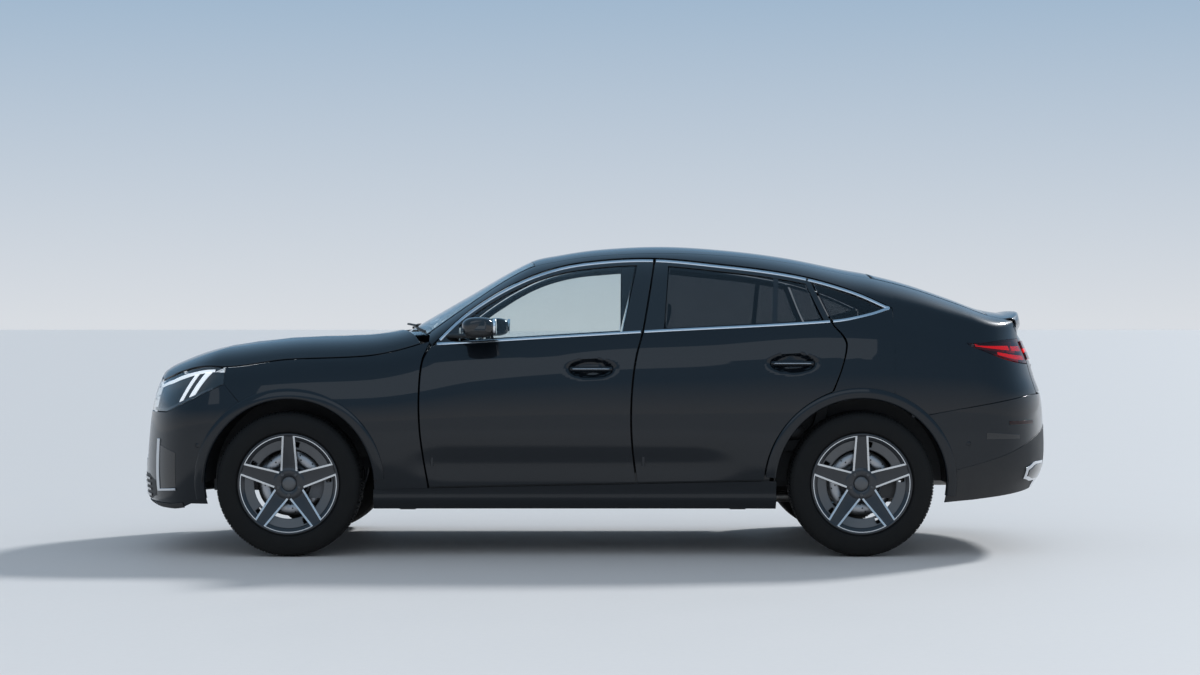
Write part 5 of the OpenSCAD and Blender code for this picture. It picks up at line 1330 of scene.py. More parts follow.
tailGlow = ((0.52, 0.72, 0.04, 0.62), (0.16, 0.34, 0.36, 0.98), (0.52, 0.72, 0.7, 0.98))
for sideName, s in bodySides:
    out = (1, s, 0)
    skin("tailLampLens_" + sideName, [tailLampGrid(s)], out, 4, "redLens", "body", "tail_lamp",
         ["tail_lamps"] if s < 0 else [], lip=1.0)
    skin("tailLampBowl_" + sideName, [tailLampGrid(s, 0.02, 0.98, sink=26)], out, 3, "glossBlack", "body",
         "trim",
         lip=0)
    for k, span in enumerate(tailGlow):
        skin("tailLampGlow_%s_%d" % (sideName, k), [tailLampGrid(s, *span, 6, 26, 9)], out, 6, "redGlow",
             "body",
             "tail_lamp", lip=1.5)


def gateBand(low, high, half, lift, n=60, rows=8):
    y = np.linspace(-half, half, n + 1)[:, None]
    z = np.linspace(low, high, rows + 1)[None, :]
    y, z = np.broadcast_arrays(y, z)
    return np.stack([rearX(y, z) + lift, y, z], -1)


behind = (1, 0, 0)
skin("gateLampLens", [gateBand(990, 1086, gate["half"] - 6, 7)], behind, 6, "redLens", "tailgate",
     "tail_lamp",
     ["tailgate_lamps"], lip=2.0)
skin("gateLampGlow", [gateBand(1030, 1046, gate["half"] - 16, 2, rows=3)], behind, 3, "redGlow", "tailgate",
     "tail_lamp", lip=0.8)
plateGrid = np.stack(np.broadcast_arrays(float(rearX(0, 905)) - 14, np.linspace(-258, 258, 20)[:, None],
                                         np.linspace(850, 960, 8)[None, :]), -1)
skin("blankPlateRear", [plateGrid], behind, 3, "lining", "tailgate", "trim", lip=1.0)
print("tail ready")


# copies round a wheel's axis by Geometry Nodes
def ringTree():
    tree = bpy.data.node_groups.new("ringCopies", "GeometryNodeTree")
    for label, kind in (("Geometry", "Geometry"), ("Count", "Int"), ("Centre", "Vector"),
                        ("Material", "Material")):
        tree.interface.new_socket(label, in_out="INPUT", socket_type="NodeSocket" + kind)
    tree.interface.new_socket("Geometry", in_out="OUTPUT", socket_type="NodeSocketGeometry")
    into, out = tree.nodes.new("NodeGroupInput").outputs, tree.nodes.new("NodeGroupOutput").inputs
    single, copies, turn, real, paint = (tree.nodes.new("GeometryNode" + kind) for kind in (
        "GeometryToInstance", "DuplicateElements", "RotateInstances", "RealizeInstances", "SetMaterial"))
    copies.domain = "INSTANCE"
    turn.inputs["Local Space"].default_value = False
    share = addNode(tree, "Math", operation="DIVIDE")
    angle = addNode(tree, "Math", {1: 2 * math.pi}, operation="MULTIPLY")
    euler = addNode(tree, "CombineXYZ")
    wire(tree, (into["Geometry"], single.inputs[0]), (single.outputs[0], copies.inputs["Geometry"]),
         (into["Count"], copies.inputs["Amount"]), (copies.outputs["Duplicate Index"], share.inputs[0]),
         (into["Count"], share.inputs[1]), (share.outputs[0], angle.inputs[0]),
         (angle.outputs[0], euler.inputs["Y"]), (copies.outputs["Geometry"], turn.inputs["Instances"]),
         (euler.outputs[0], turn.inputs["Rotation"]), (into["Centre"], turn.inputs["Pivot Point"]),
         (turn.outputs[0], real.inputs[0]), (real.outputs[0], paint.inputs["Geometry"]),
         (into["Material"], paint.inputs["Material"]), (paint.outputs[0], out[0]))
    return tree


ringCopies = ringTree()
ringSockets = ringCopies.interface.items_tree
ringInputs = {item.name: item.identifier for item in ringSockets if item.in_out == "INPUT"}


def ringPiece(name, parts, count, centre, finish, lip=0.0, smooth=True):
    obj = solidPiece(name, *joinParts(parts), finish, lip=lip, smooth=smooth, segments=1)
    copies = obj.modifiers.new("copies", "NODES")
    copies.node_group = ringCopies
    copies[ringInputs["Count"]] = count
    copies[ringInputs["Centre"]] = tuple(c * mm for c in centre)
    copies[ringInputs["Material"]] = finishes[finish]
    return plain(obj)


# wheels
wheel = {
    "rim": [[240, 92], [240, 100], [254, 101], [257.5, 105], [254, 109], [246, 108.5], [243, 104], [233, 98],
            [224, 92], [216, 76], [216, -60], [224, -94], [235, -109], [256, -109], [258, -104], [240, -100],
            [240, -92], [226, -50], [226, 60]],
    "face": [[40, 75], [84, 79], [150, 90], [205, 99], [246, 106]],
    "half": [[70, 43], [246, 32]], "band": 10.0, "deep": 24.0, "count": 5,
    "hub": [[34, 60], [84, 60], [86, 72], [80, 77], [64, 78], [46, 78], [38, 74], [34, 70]],
    "cap": [[0, 80.5], [22, 80], [32, 78], [36.5, 74], [36.5, 64], [0, 64]],
    "plate": {"low": 176.0, "high": 240.0, "face": 14.0, "thick": 4.0, "dip": 4, "margin": 0.10, "steps": 33,
              "hole": (188, 214), "holeBeside": (12.0, 32.0)},
    "bolt": {"radius": 56, "head": ((9.0, 70), (9.0, 81), (7.6, 83), (5.0, 83), (4.2, 81.5))},
    "disc": [[70, 20], [164, 20], [165, 19], [165, 12], [150, 11], [150, 5], [165, 4], [165, -3], [164, -4],
             [70, -4]],
    "hat": [[30, 35], [74, 35], [77, 32], [78, 20], [70, 18], [30, 18]],
    # drill hole places; the rim entry is the profile of a dark plug that paints the shade inside each hole
    "drills": {"count": 12, "radii": (108, 128, 148), "step": 0.09,
               "rim": ((4.2, 18), (4.2, 20.25), (3.0, 20.4))},
}
upright = math.pi / 2
spokeStep = 2 * math.pi / wheel["count"]
mitre = math.tan(spokeStep / 2)


def wheelPoint(centre, sign, r, angle, out):
    spots = np.broadcast_arrays(centre[0] + r * np.cos(angle), centre[1] + sign * out,
                                centre[2] + r * np.sin(angle))
    return np.stack(spots, axis=-1)


def faceOut(r):
    return np.interp(r, *np.array(wheel["face"], float).T)


def spokeRings(centre, sign, w0, w1, drop, reach):
    # strip of the upright spoke between two lines beside its middle
    rings = []
    for r in np.linspace(*reach, 19):
        half = np.interp(r, *np.array(wheel["half"], float).T)
        a, c = w0(half), w1(half)
        top, low = faceOut(r) - drop, faceOut(r) - wheel["deep"]
        mid = top - (1.5 if drop else 0)
        # a line meets the next spoke's line in a mitre
        rings.append([[centre[0] + w, centre[1] + sign * o,
                       centre[2] + (r if drop else max(r, abs(w) / mitre))]
                      for w, o in ((a, low), (a, top), ((a + c) / 2, mid), (c, top), (c, low))])
    return loft(rings)


def arcRings(centre, sign, r0, r1, gap, out, deep):
    # strip round the rim, from one spoke's edge to the next
    turn = np.arcsin(gap / r1)
    angles = np.linspace(upright + turn, upright + spokeStep - turn, 31)
    corners = ((r0, out - deep), (r0, out), (r1, out), (r1, out - deep))
    return loft([[wheelPoint(centre, sign, r, a, o) for r, o in corners] for a in angles])


def platePart(centre, sign):  # plate between two spokes, with its square air hole
    spec = wheel["plate"]
    n, low, high = spec["steps"], spec["low"], spec["high"]
    radii = np.linspace(low, high, 12)
    angles = np.linspace(upright + spec["margin"], upright + spokeStep - spec["margin"], n)
    outs = [faceOut(r) - spec["face"] - spec["dip"] * (1 - (r - low) / (high - low)) for r in radii]
    grid = np.stack([wheelPoint(centre, sign, r, angles, out) for r, out in zip(radii, outs)])
    faces = []
    for i, r in enumerate((radii[:-1] + radii[1:]) / 2):
        for j, a in enumerate((angles[:-1] + angles[1:]) / 2):
            beside = (angles[-1] - a) * r
            inHole = spec["hole"][0] < r < spec["hole"][1]
            if not (inHole and spec["holeBeside"][0] < beside < spec["holeBeside"][1]):
                k = i * n + j
                faces.append([k, k + n, k + n + 1, k + 1])
    return grid.reshape(-1, 3), faces


def studRings(middle, sign, steps, spans):  # short turned stud, (radius, outward distance) to a ring
    a = circle(steps)
    return loft([np.stack([middle[0] + r * np.cos(a), np.full(steps, middle[1] + sign * o),
                           middle[2] + r * np.sin(a)], -1) for r, o in spans])


def boltPart(centre, sign):  # hexagon bolt with a dished head
    middle = wheelPoint(centre, sign, wheel["bolt"]["radius"], upright + spokeStep / 2, 0.0)
    return studRings(middle, sign, 6, wheel["bolt"]["head"])


def holeShadeParts(centre, sign):  # near-black plugs set into the cooling holes, three to a row: painted shade for the dark insides of the drilled holes
    spec = wheel["drills"]
    middles = [wheelPoint(centre, sign, r, upright + spec["step"] * k, 0.0) for k,
               r in enumerate(spec["radii"])]
    return [studRings(middle, sign, 12, spec["rim"]) for middle in middles]


tyre = {
    "wall": [[241, 98], [256, 100.5], [259.5, 106], [264, 113], [272, 116.5], [286, 117.5], [304, 117.4],
             [322, 116], [338, 112.5], [349, 107], [356, 100], [359, 92], [359.5, 60]],
    "lining": [[340, 90], [300, 100], [255, 86]],
    "well": [[262, 110.5], [266, 114.8], [270, 116.4], [272, 116.9], [274, 116.5], [266, 112]],
    "ribs": ((6, 34), (-34, -6)), "blocks": 72, "steps": 108,
    "shoulder": ((42, 366.8), (60, 366.6), (80, 365.2), (94, 361.8), (104, 355.4), (110, 347)),
    "pair": ((0.06, 0.44), (0.50, 0.90)), "blockDeep": 9, "blockLean": 0.012,
    "slit": ((366.2, 0.40), (367.4, 0.42), (367.4, 0.50), (366.2, 0.52)), "slitReach": (8, 32),
}


def tyreSection():  # outer wall and lining, each with its mirror image
    wall, lining = tyre["wall"], tyre["lining"]
    mirrored = [[[r, -o] for r, o in half[::-1]] for half in (wall, lining)]
    return wall + mirrored[0] + mirrored[1] + lining


def ribProfile(low, high):
    return [[358, low], [366, low + 1], [367, low + 2], [367, high - 2], [366, high - 1], [358, high]]


def blockParts(centre, sign):  # shoulder blocks cut by a sipe, and small slits in the middle ribs
    parts = []
    pitch = 2 * math.pi / tyre["blocks"]
    start, deep = tyre["shoulder"][0][0], tyre["blockDeep"]
    for edge in (1, -1):
        for low, high in tyre["pair"]:
            rings = []
            for o, r in tyre["shoulder"]:
                lean = tyre["blockLean"] * (o - start) / 60 * edge
                corners = ((r - deep, low, 4), (r, low + 0.03, 0), (r, high - 0.03, 0), (r - deep, high, 4))
                rings.append([wheelPoint(centre, sign, q, pitch * a + lean, edge * o - edge * d)
                              for q, a, d in corners])
            parts.append(loft(rings))
    for edge in (1, -1):
        parts.append(loft([[wheelPoint(centre, sign, q, pitch * a, o * edge) for q, a in tyre["slit"]]
                           for o in tyre["slitReach"]]))
    return parts


for axle, axleX in (("front", frontAxle), ("rear", rearAxle)):
    for sideName, s in bodySides:
        tag = axle + "_" + sideName
        body = "wheel_" + tag
        centre = (axleX, s * wheelY, wheelZ)
        band, count = wheel["band"], wheel["count"]
        barrel = joinParts([lathe(wheel["rim"], centre, s), lathe(wheel["hub"], centre, s)])
        solid("rimBarrel_" + tag, barrel, "wheelPaint", body, "rim", ["wheel_" + tag])
        core = spokeRings(centre, s, lambda h: -h + band, lambda h: h - band, 1.6, (34, 246))
        finishPiece(ringPiece("spokes_" + tag, [core], count, centre, "wheelPaint", 1.0), body)
        edges = [spokeRings(centre, s, lambda h: -h, lambda h: -h + band, 0, (44, 244)),
                 spokeRings(centre, s, lambda h: h - band, lambda h: h, 0, (44, 244)),
                 arcRings(centre, s, 240, 251, 24, faceOut(246), 12)]
        finishPiece(ringPiece("turnedEdges_" + tag, edges, count, centre, "turnedAlloy", 0.8), body)
        flat = ringPiece("airPlates_" + tag, [platePart(centre, s)], count, centre, "aeroGrey")
        wall = flat.modifiers.new("wall", "SOLIDIFY")
        wall.thickness = wheel["plate"]["thick"] * mm
        wall.offset = 0
        finishPiece(plain(flat), body)
        finishPiece(ringPiece("bolts_" + tag, [boltPart(centre, s)], count, centre, "castMetal", 0.5), body)
        solid("hubCap_" + tag, lathe(wheel["cap"], centre, s, 72), "aeroGrey", body, "hub")
        rotor = joinParts([lathe(wheel["disc"], centre, s, 120), lathe(wheel["hat"], centre, s, 72)])
        solid("brakeDisc_" + tag, rotor, "disc", body, "hub")
        # near-black plugs in the disc's drilled holes: painted shade in place of holes cut through
        holeShadePiece = ringPiece("discHoleShade_" + tag, holeShadeParts(centre, s), wheel["drills"]["count"], centre,
                          "rubber")
        finishPiece(holeShadePiece, body)
        profiles = [tyreSection(), tyre["well"]] + [ribProfile(*rib) for rib in tyre["ribs"]]
        carcass = joinParts([lathe(profile, centre, s, tyre["steps"]) for profile in profiles])
        solid("tyreCarcass_" + tag, carcass, "tyre", body, "tyre", ["tyre_" + tag])
        tread = ringPiece("treadBlocks_" + tag, blockParts(centre, s), tyre["blocks"], centre, "tyre",
                          smooth=False)
        finishPiece(tread, body)
print("wheels ready")

# door mirrors
up = (0, 0, 1)
mirror = {"x": frontAxle + 964, "z": b["beltFront"] + 93, "long": 88, "high": 53, "steps": 40,
          "footX": frontAxle + 818,
          "spans": ((868, 0.80), (880, 0.93), (900, 0.99), (940, 1.0), (985, 0.97), (1012, 0.88),
                    (1026, 0.74),
                    (1034, 0.5)),
          "glass": ((70, 1.0), (83, 1.0), (84, 0.97)), "glassY": 950, "glassHalf": (70, 43),
          "signal": [[-6, -2.5], [4, -2.5], [5, 0], [4, 2.5], [-6, 2.5]]}


def mirrorRing(sign, y, share, low=-1.0, high=1.0):
    a = circle(mirror["steps"])
    c, s = np.cos(a), np.sin(a)
    x = squared(c, 2 / 2.5) * np.where(c < 0, mirror["long"], mirror["long"] - 8) * share
    z = np.clip(squared(s, 2 / 2.8), low, high) * mirror["high"] * (0.35 + 0.65 * share)
    return np.stack([mirror["x"] + x, np.full(len(a), sign * y), mirror["z"] + z], -1)


for sideName, s in bodySides:
    body = "door_front_" + sideName
    mx, mz = mirror["x"], mirror["z"]
    housing = loft([mirrorRing(s, y, k, low=-0.55) for y, k in mirror["spans"]])
    solid("mirrorCap_" + sideName, housing, "glossBlack", body, "trim", ["mirror_" + sideName], lip=2.0)
    shell = loft([mirrorRing(s, y, k * 0.97, low=-1.0, high=-0.5) for y, k in mirror["spans"]])
    solid("mirrorShell_" + sideName, shell, "plastic", body, "trim", lip=1.5)
    a = circle(mirror["steps"])
    halfY, halfZ = mirror["glassHalf"]
    glass = [np.stack([np.full(len(a), mx + x), s * (mirror["glassY"] + halfY * k * squared(np.cos(a), 0.7)),
                       mz + 4 + halfZ * k * squared(np.sin(a), 0.7)], -1) for x, k in mirror["glass"]]
    solid("mirrorGlass_" + sideName, loft(glass), "mirrorGlass", body, "trim")
    path = [[mx - 70 + 9 * k, s * (1029 - 0.54 * (k - 6) ** 2), mz - 27] for k in range(13)]
    solid("mirrorSignal_" + sideName, sweep(path, (0, s, 0), up, mirror["signal"]), "lampGlass", body, "trim")
    foot = []
    rootY = upperY(mirror["footX"], mz - 44) - 8
    for t in np.linspace(0, 1, 9):
        x, y = lerp(mirror["footX"], mx - 30, ease(t, 0, 1)), lerp(rootY, 905, t)
        a = circle(20)
        foot.append(np.stack([x + lerp(34, 42, t) * np.cos(a), s * y + 0 * a, mz - 43 + 12 * np.sin(a)], -1))
    solid("mirrorFoot_" + sideName, loft(foot), "plastic", body, "trim", lip=2.0)

# door handles, armrests and inlays
handle = {"half": 116.0, "steps": 33, "bar": [[-7, -11], [3, -12], [8, -7], [9, 0], [8, 7], [3, 12],
                                              [-7, 11]],
          "strip": [[-3, -1.6], [2, -1.6], [2.4, 0], [2, 1.6], [-3, 1.6]]}
card = {"front": (frontAxle + 880, frontAxle + 1640), "rear": (pillarX + 190, rearAxle - 420), "steps": 25,
        "rest": [[-22, -46], [10, -40], [30, -8], [34, 18], [26, 30], [-22, 34]], "inlayUp": 92,
        "inlay": [[-24, -14], [-4, -14], [0, 0], [-4, 14], [-24, 14]]}
for sideName, s in bodySides:
    for kind in ("front", "rear"):
        tag = kind + "_" + sideName
        body = "door_" + tag
        x0, z0 = door["handles"][kind]
        u = np.linspace(-1, 1, handle["steps"])
        xs, zs = x0 + u * handle["half"], z0 + 0 * u
        path = np.stack([xs, s * (skinY(xs, zs) + 3 - 26 * np.abs(u) ** 8), zs], -1)
        solid("doorHandle_" + tag, sweep(path, (0, s, 0), up, handle["bar"]), "paint", body, "paint")
        blade = sweep(path[3:-3] + [0, s * 7.5, 0], (0, s, 0), up, handle["strip"])
        solid("handleStrip_" + tag, blade, "satinStrip", body, "trim")
        xs = np.linspace(*card[kind], card["steps"])
        v = np.linspace(-1, 1, card["steps"])
        path = np.stack([xs, s * (skinY(xs, 760 + 0 * xs) - 62 + 10 * np.abs(v) ** 6), 745 + 30 * v ** 2], -1)
        rest = sweep(path, (0, -s, 0), up, card["rest"])
        solid("armrest_" + tag, rest, "leather", body, "cabin_trim", lip=4.0)
        inlay = sweep(path + [0, 0, card["inlayUp"]], (0, -s, 0), up, card["inlay"])
        solid("doorInlay_" + tag, inlay, "satinStrip", body, "cabin_trim", lip=1.0)
print("mirrors and handles ready")

# padded seats: cloth swells each pad, then the seams are drawn in; these values in metres
pad = {"voxel": 0.019, "frames": 20, "pressure": 4.0, "cap": 0.016, "channel": 0.005, "channelHalf": 0.011,
       "seamY": 0.155}


def padRings(path, wides, thicks, tilt, power=3.4, bolster=0.0):
    # rounded rings along a path in the side view; tilt is the direction out of the pad's face
    rings = []
    a = circle(44)
    for (x, z), wide, thick in zip(path, wides, thicks):
        across = squared(np.cos(a), 2 / power) * wide / 2
        out = squared(np.sin(a), 2 / power) * thick / 2
        out = out + np.where(out > 0, bolster * (np.abs(across) / (wide / 2)) ** 4, 0)
        rings.append(np.stack([x + out * tilt[0], across, z + out * tilt[1]], -1))
    return rings


def padSeams(spec, rings):  # sewn channels: across the pad, and along it beside the bolsters
    if "crossX" in spec:
        cross = [-x * mm for x in spec["crossX"]]
    elif "crossShares" in spec:
        rise = np.array([-spec["tilt"][1], 0, spec["tilt"][0]])
        ends = [np.array(ring).mean(axis=0) @ rise * mm for ring in (rings[1], rings[-2])]
        cross = [lerp(*ends, t) for t in spec["crossShares"]]
    else:
        return []
    return [("cross", place) for place in cross] + [("along", pad["seamY"])]


def softPad(name, rings, finish, seams, tilt):
    mesh = meshOf(name, *loft(rings), [finishes[finish]])
    cleanMesh(mesh)
    obj = objectOf(name, mesh)
    shape = obj.modifiers.new("shape", "REMESH")
    shape.mode, shape.voxel_size = "VOXEL", pad["voxel"]
    plain(obj)
    start = np.array([v.co for v in obj.data.vertices])
    cloth = obj.modifiers.new("swell", "CLOTH")
    cloth.settings.use_pressure = True
    cloth.settings.uniform_pressure_force = pad["pressure"]
    cloth.settings.effector_weights.gravity = 0
    for frameNumber in range(1, pad["frames"] + 1):
        scene.frame_set(frameNumber)
    plain(obj)
    scene.frame_set(1)
    moved = np.array([v.co for v in obj.data.vertices])
    if len(moved) == len(start):
        step = moved - start
        reach = np.linalg.norm(step, axis=1, keepdims=True)
        moved = start + step * np.minimum(1, pad["cap"] / np.maximum(reach, 1e-9))
        obj.data.vertices.foreach_set("co", moved.ravel())
        obj.data.update()
    smoother = obj.modifiers.new("smoother", "SUBSURF")
    smoother.levels = smoother.render_levels = 1
    plain(obj)
    spots = np.array([v.co for v in obj.data.vertices])
    normals = np.array([v.normal for v in obj.data.vertices])
    face = np.clip(normals @ np.array([tilt[0], 0, tilt[1]]), 0, 1)
    rise = spots @ np.array([-tilt[1], 0, tilt[0]])
    beside = np.abs(spots[:, 1])
    pull = np.zeros(len(spots))
    for kind, place in seams:
        value = rise - place if kind == "cross" else beside - place
        inside = beside < pad["seamY"] if kind == "cross" else True
        pull = np.maximum(pull, np.exp(-(value / pad["channelHalf"]) ** 2) * inside)
    spots = spots - np.array([tilt[0], 0, tilt[1]]) * (pull * face * pad["channel"])[:, None]
    obj.data.vertices.foreach_set("co", spots.ravel())
    for polygon in obj.data.polygons:
        polygon.use_smooth = True
    obj.data.materials.clear()
    obj.data.materials.append(finishes[finish])
    obj.data.update()
    return obj


def placedCopy(obj, name, shift):
    other = objectOf(name, obj.data.copy())
    other.data.transform(Matrix.Translation((0, shift * mm, 0)))
    other.data.name = name
    return other


seatY = 370.0
frontYs, benchYs, headYs = (-seatY, seatY), (-450, 0, 450), (-420, 0, 420)
fx, rx = frontAxle, rearAxle
backShares = (0.2, 0.4, 0.6, 0.8)
pads = {
    "cushion": {
        "path": [[fx + 1165 + 40 * k, 582 - 2.2 * k] for k in range(13)],
        "wide": [430, 452, 460, 462, 462, 462, 462, 460, 458, 454, 450, 444, 420],
        "thick": [70, 112, 126, 130, 130, 128, 126, 124, 122, 120, 116, 108, 80],
        "tilt": (0, 1), "bolster": 20, "crossX": (fx + 1330, fx + 1420, fx + 1510), "ys": frontYs},
    "back": {
        "path": [[fx + 1672, 590], [fx + 1690, 620], [fx + 1740, 740], [fx + 1790, 880], [fx + 1835, 1000],
                 [fx + 1862, 1075], [fx + 1876, 1108]],
        "wide": [400, 440, 462, 462, 440, 390, 320], "thick": [70, 92, 98, 94, 88, 78, 54],
        "tilt": (-0.93, 0.37), "bolster": 22, "crossShares": backShares, "ys": frontYs},
    "head": {
        "path": [[fx + 1884, 1140], [fx + 1889, 1158], [fx + 1900, 1200], [fx + 1910, 1245],
                 [fx + 1917, 1272],
                 [fx + 1921, 1286]],
        "wide": [190, 232, 246, 246, 226, 180], "thick": [44, 62, 70, 70, 60, 40],
        "tilt": (-0.97, 0.24), "power": 2.8, "ys": frontYs},
    "benchCushion": {
        "path": [[rx - 694 + 44 * k, 618] for k in range(11)],
        "wide": [440, 462, 470, 472, 472, 472, 472, 472, 470, 464, 446],
        "thick": [70, 108, 120, 122, 122, 122, 120, 118, 116, 110, 84],
        "tilt": (0, 1), "crossX": (rx - 560, rx - 450), "ys": benchYs},
    "benchBack": {
        "path": [[rx - 258, 690], [rx - 250, 716], [rx - 216, 830], [rx - 180, 950], [rx - 152, 1044],
                 [rx - 146, 1066]],
        "wide": [430, 462, 472, 470, 450, 420], "thick": [54, 84, 92, 90, 78, 50],
        "tilt": (-0.96, 0.28), "crossShares": backShares, "ys": benchYs},
    "benchHead": {
        "path": [[rx - 116, 1098], [rx - 113, 1112], [rx - 106, 1150], [rx - 102, 1184], [rx - 100, 1200]],
        "wide": [190, 222, 232, 224, 190], "thick": [40, 54, 60, 54, 36],
        "tilt": (-0.98, 0.2), "power": 2.8, "ys": headYs},
}
for kind, spec in pads.items():
    rings = padRings(spec["path"], spec["wide"], spec["thick"], spec["tilt"], spec.get("power", 3.4),
                     spec.get("bolster", 0.0))
    first = softPad(kind + "Pad", rings, "leather", padSeams(spec, rings), spec["tilt"])
    for k, shift in enumerate(spec["ys"]):
        copy = placedCopy(first, "%sPad_%d" % (kind, k + 1), shift)
        finishPiece(copy, "body")
    bpy.data.objects.remove(first)
print("seats ready")


# seat frames, posts and the bench's base
def slab(outline, x0, ys):  # an outline in the side view, between two distances from the middle
    return loft([[[x0 + x, y, z] for x, z in outline] for y in ys])


def headPost(x, y, z, half):
    points, faces = lathe([[0, -half], [6, -half], [6, half], [0, half]], (0, 0, 0), 1, 16)
    return np.stack([x + points[:, 0], y + points[:, 2], z + points[:, 1]], -1), faces


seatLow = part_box("front_seats")[0][2] / mm
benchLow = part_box("rear_bench")[0][2] / mm
outlines = {
    "rail": ((1240, seatLow), (1640, seatLow), (1600, 512), (1280, 520)),
    "pan": ((1190, 512), (1650, 480), (1690, 500), (1740, 640), (1900, 1060), (1915, 1060), (1745, 560),
            (1700, 475),
            (1640, 462), (1200, 500)),
    "bench": ((-680, 575), (-672, benchLow), (-196, benchLow), (-72, 1062), (-108, 1072), (-226, 660),
              (-300, 580)),
}
frames, posts = [], []
for y in frontYs:
    for middle in (y - 195, y + 195):
        frames.append(slab(outlines["rail"], fx, (middle - 15, middle + 15)))
    frames.append(slab(outlines["pan"], fx, (y - 205, y + 205)))
    posts += [headPost(fx + 1878, y + side * 60, 1118, 40) for side in (-1, 1)]
for y in headYs:
    posts += [headPost(rx - 116, y + side * 55, 1082, 34) for side in (-1, 1)]
solid("seatFrames", joinParts(frames), "cabin", "body", "seat", ["front_seats"], lip=4.0)
solid("headPosts", joinParts(posts), "satinStrip", "body", "seat")
solid("benchBase", slab(outlines["bench"], rx, (-690, 690)), "cabin", "body", "seat", ["rear_bench"], lip=5.0)

# dashboard, wipers, sensors
dash = {"screens": [((fx + 934, -seatY, 1052), 290, 104), ((fx + 946, 0, 985), 250, 190)],
        "screenRings": ((-10, 0.97), (6, 1.0), (8, 0.985), (7, 0.97)),
        "inlay": [[-12, -16], [2, -14], [4, 0], [2, 14], [-12, 16]], "inlayX": fx + 958.0, "inlayZ": 868.0,
        "ventX": fx + 962, "ventZ": 905, "ventHalf": 46, "ventYs": (-560, -105, 0, 105, 560),
        "blade": ((-14, -1.5), (3, -2.5), (4, 0), (-14, 1.5))}
for k, ((x, y, z), wide, high) in enumerate(dash["screens"]):
    rings = []
    for out, share in dash["screenRings"]:
        a = circle(48)
        across = squared(np.cos(a), 0.22) * wide / 2 * share
        rise = squared(np.sin(a), 0.22) * high / 2 * share
        rings.append(np.stack([x + out * 0.94 + rise * 0.22, y + across, z + rise * 0.97 - out * 0.2], -1))
    solid("screen_%d" % (k + 1), loft(rings), "glossBlack", "body", "cabin_trim")
path = [[dash["inlayX"], y, dash["inlayZ"]] for y in np.linspace(-620, 620, 41)]
solid("dashInlay", sweep(path, (1, 0, 0), up, dash["inlay"]), "satinStrip", "body", "cabin_trim", lip=1.0)
vents = []
for y in dash["ventYs"]:
    for z in (dash["ventZ"] + 12 * k for k in range(4)):
        outline = [(dx, z + dz) for dx, dz in dash["blade"]]
        vents.append(slab(outline, dash["ventX"], (y - dash["ventHalf"], y + dash["ventHalf"])))
solid("dashVents", joinParts(vents), "glossBlack", "body", "cabin_trim")

wiper = {"blade": [[-5, -7], [5, -7], [3, 4], [-3, 4]], "arm": [[-9, -4], [9, -4], [7, 5], [-7, 5]],
         "spans": ((-640, -40), (-60, 560)), "lift": 9, "armStart": 10}
for k, span in enumerate(wiper["spans"]):
    ys = np.linspace(*span, 25)
    xs = cowlX + 60 + 26 * (np.abs(ys) / 640) ** 2 * 4.2 + np.linspace(0, 26, 25)
    path = np.stack([xs, ys, roofZ(xs, ys) + wiper["lift"]], -1)
    blade = sweep(path, (1, 0, 0), up, wiper["blade"])
    armPath = path[wiper["armStart"]:] + np.linspace([-4, 0, 10], [-52, 20, 2], 15)
    arm = sweep(armPath, (1, 0, 0), up, wiper["arm"])
    solid("wiper_%d" % (k + 1), joinParts([blade, arm]), "plastic", "body", "trim", lip=1.0)

sensor = {"places": ((-2003, 561), (1886, 571)), "face": ((0, 1.2), (9, 1.2), (11, 0.6), (11.5, -6), (0, -6)),
          "ring": ((11.6, 0.8), (13.4, 0.8), (13.6, -6), (11.6, -6))}
for sideName, s in bodySides:
    for k, (x, z) in enumerate(sensor["places"]):
        y = float(skinY(x, z))
        tag = "%s_%d" % (sideName, k + 1)
        face, ring = (lathe([[r, y + o] for r, o in sensor[part]], (x, 0, z), s, 32)
                      for part in ("face", "ring"))
        solid("sensor_" + tag, face, "paint", "body", "trim")
        solid("sensorRing_" + tag, ring, "plastic", "body", "trim")

# splash plates behind the front wheels
splash = {"outline": ((200, 430), (470, 400), (470, 640), (200, 640)), "inside": 330, "outside": 336}
for sideName, s in bodySides:
    plate = slab(splash["outline"], frontAxle, (s * splash["inside"], s * splash["outside"]))
    solid("splashPlate_" + sideName, plate, "plastic", "body", "trim", lip=1.0)

# liners that close the wheel housings against the outer skin
liner = {"inside": 834.0, "outside": 910.0, "gap": (5.0, 9.0)}
for axle, axleX in (("front", frontAxle), ("rear", rearAxle)):
    for sideName, s in bodySides:
        near, far = (b[axle + "Arch"] + g for g in liner["gap"])
        low, high = liner["inside"], liner["outside"]
        corners = ((near, low), (far, low), (far, high), (near, high))
        strip = loft([[wheelPoint((axleX, 0, wheelZ), s, r, a, y) for r, y in corners]
                      for a in np.linspace(0.02, math.pi - 0.02, 49)])
        solid("archLiner_%s_%s" % (axle, sideName), strip, "plastic", "body", "trim")

# materials on the CAD nodes that stay
wear = {"floor_pan": "carpet", "sills": "paint", "firewall": "chassis", "cowl": "plastic",
        "front_frame": "chassis",
        "radiator": "castMetal", "engine": "castMetal", "front_subframe": "chassis", "rear_axle": "chassis",
        "fuel_tank": "plastic", "exhaust": "exhaust", "hinge_pillars": "paint", "b_pillars": "cabin",
        "wheel_housings": "plastic", "dashboard": "cabin", "console": "cabin", "knuckle_left": "castMetal",
        "knuckle_right": "castMetal", "steering_wheel": "leather", "arch_trims": "paint"}
for name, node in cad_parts.items():
    node.data.materials.clear()
    node.data.materials.append(finishes[wear.get(name, "plastic")])
print("cabin ready")

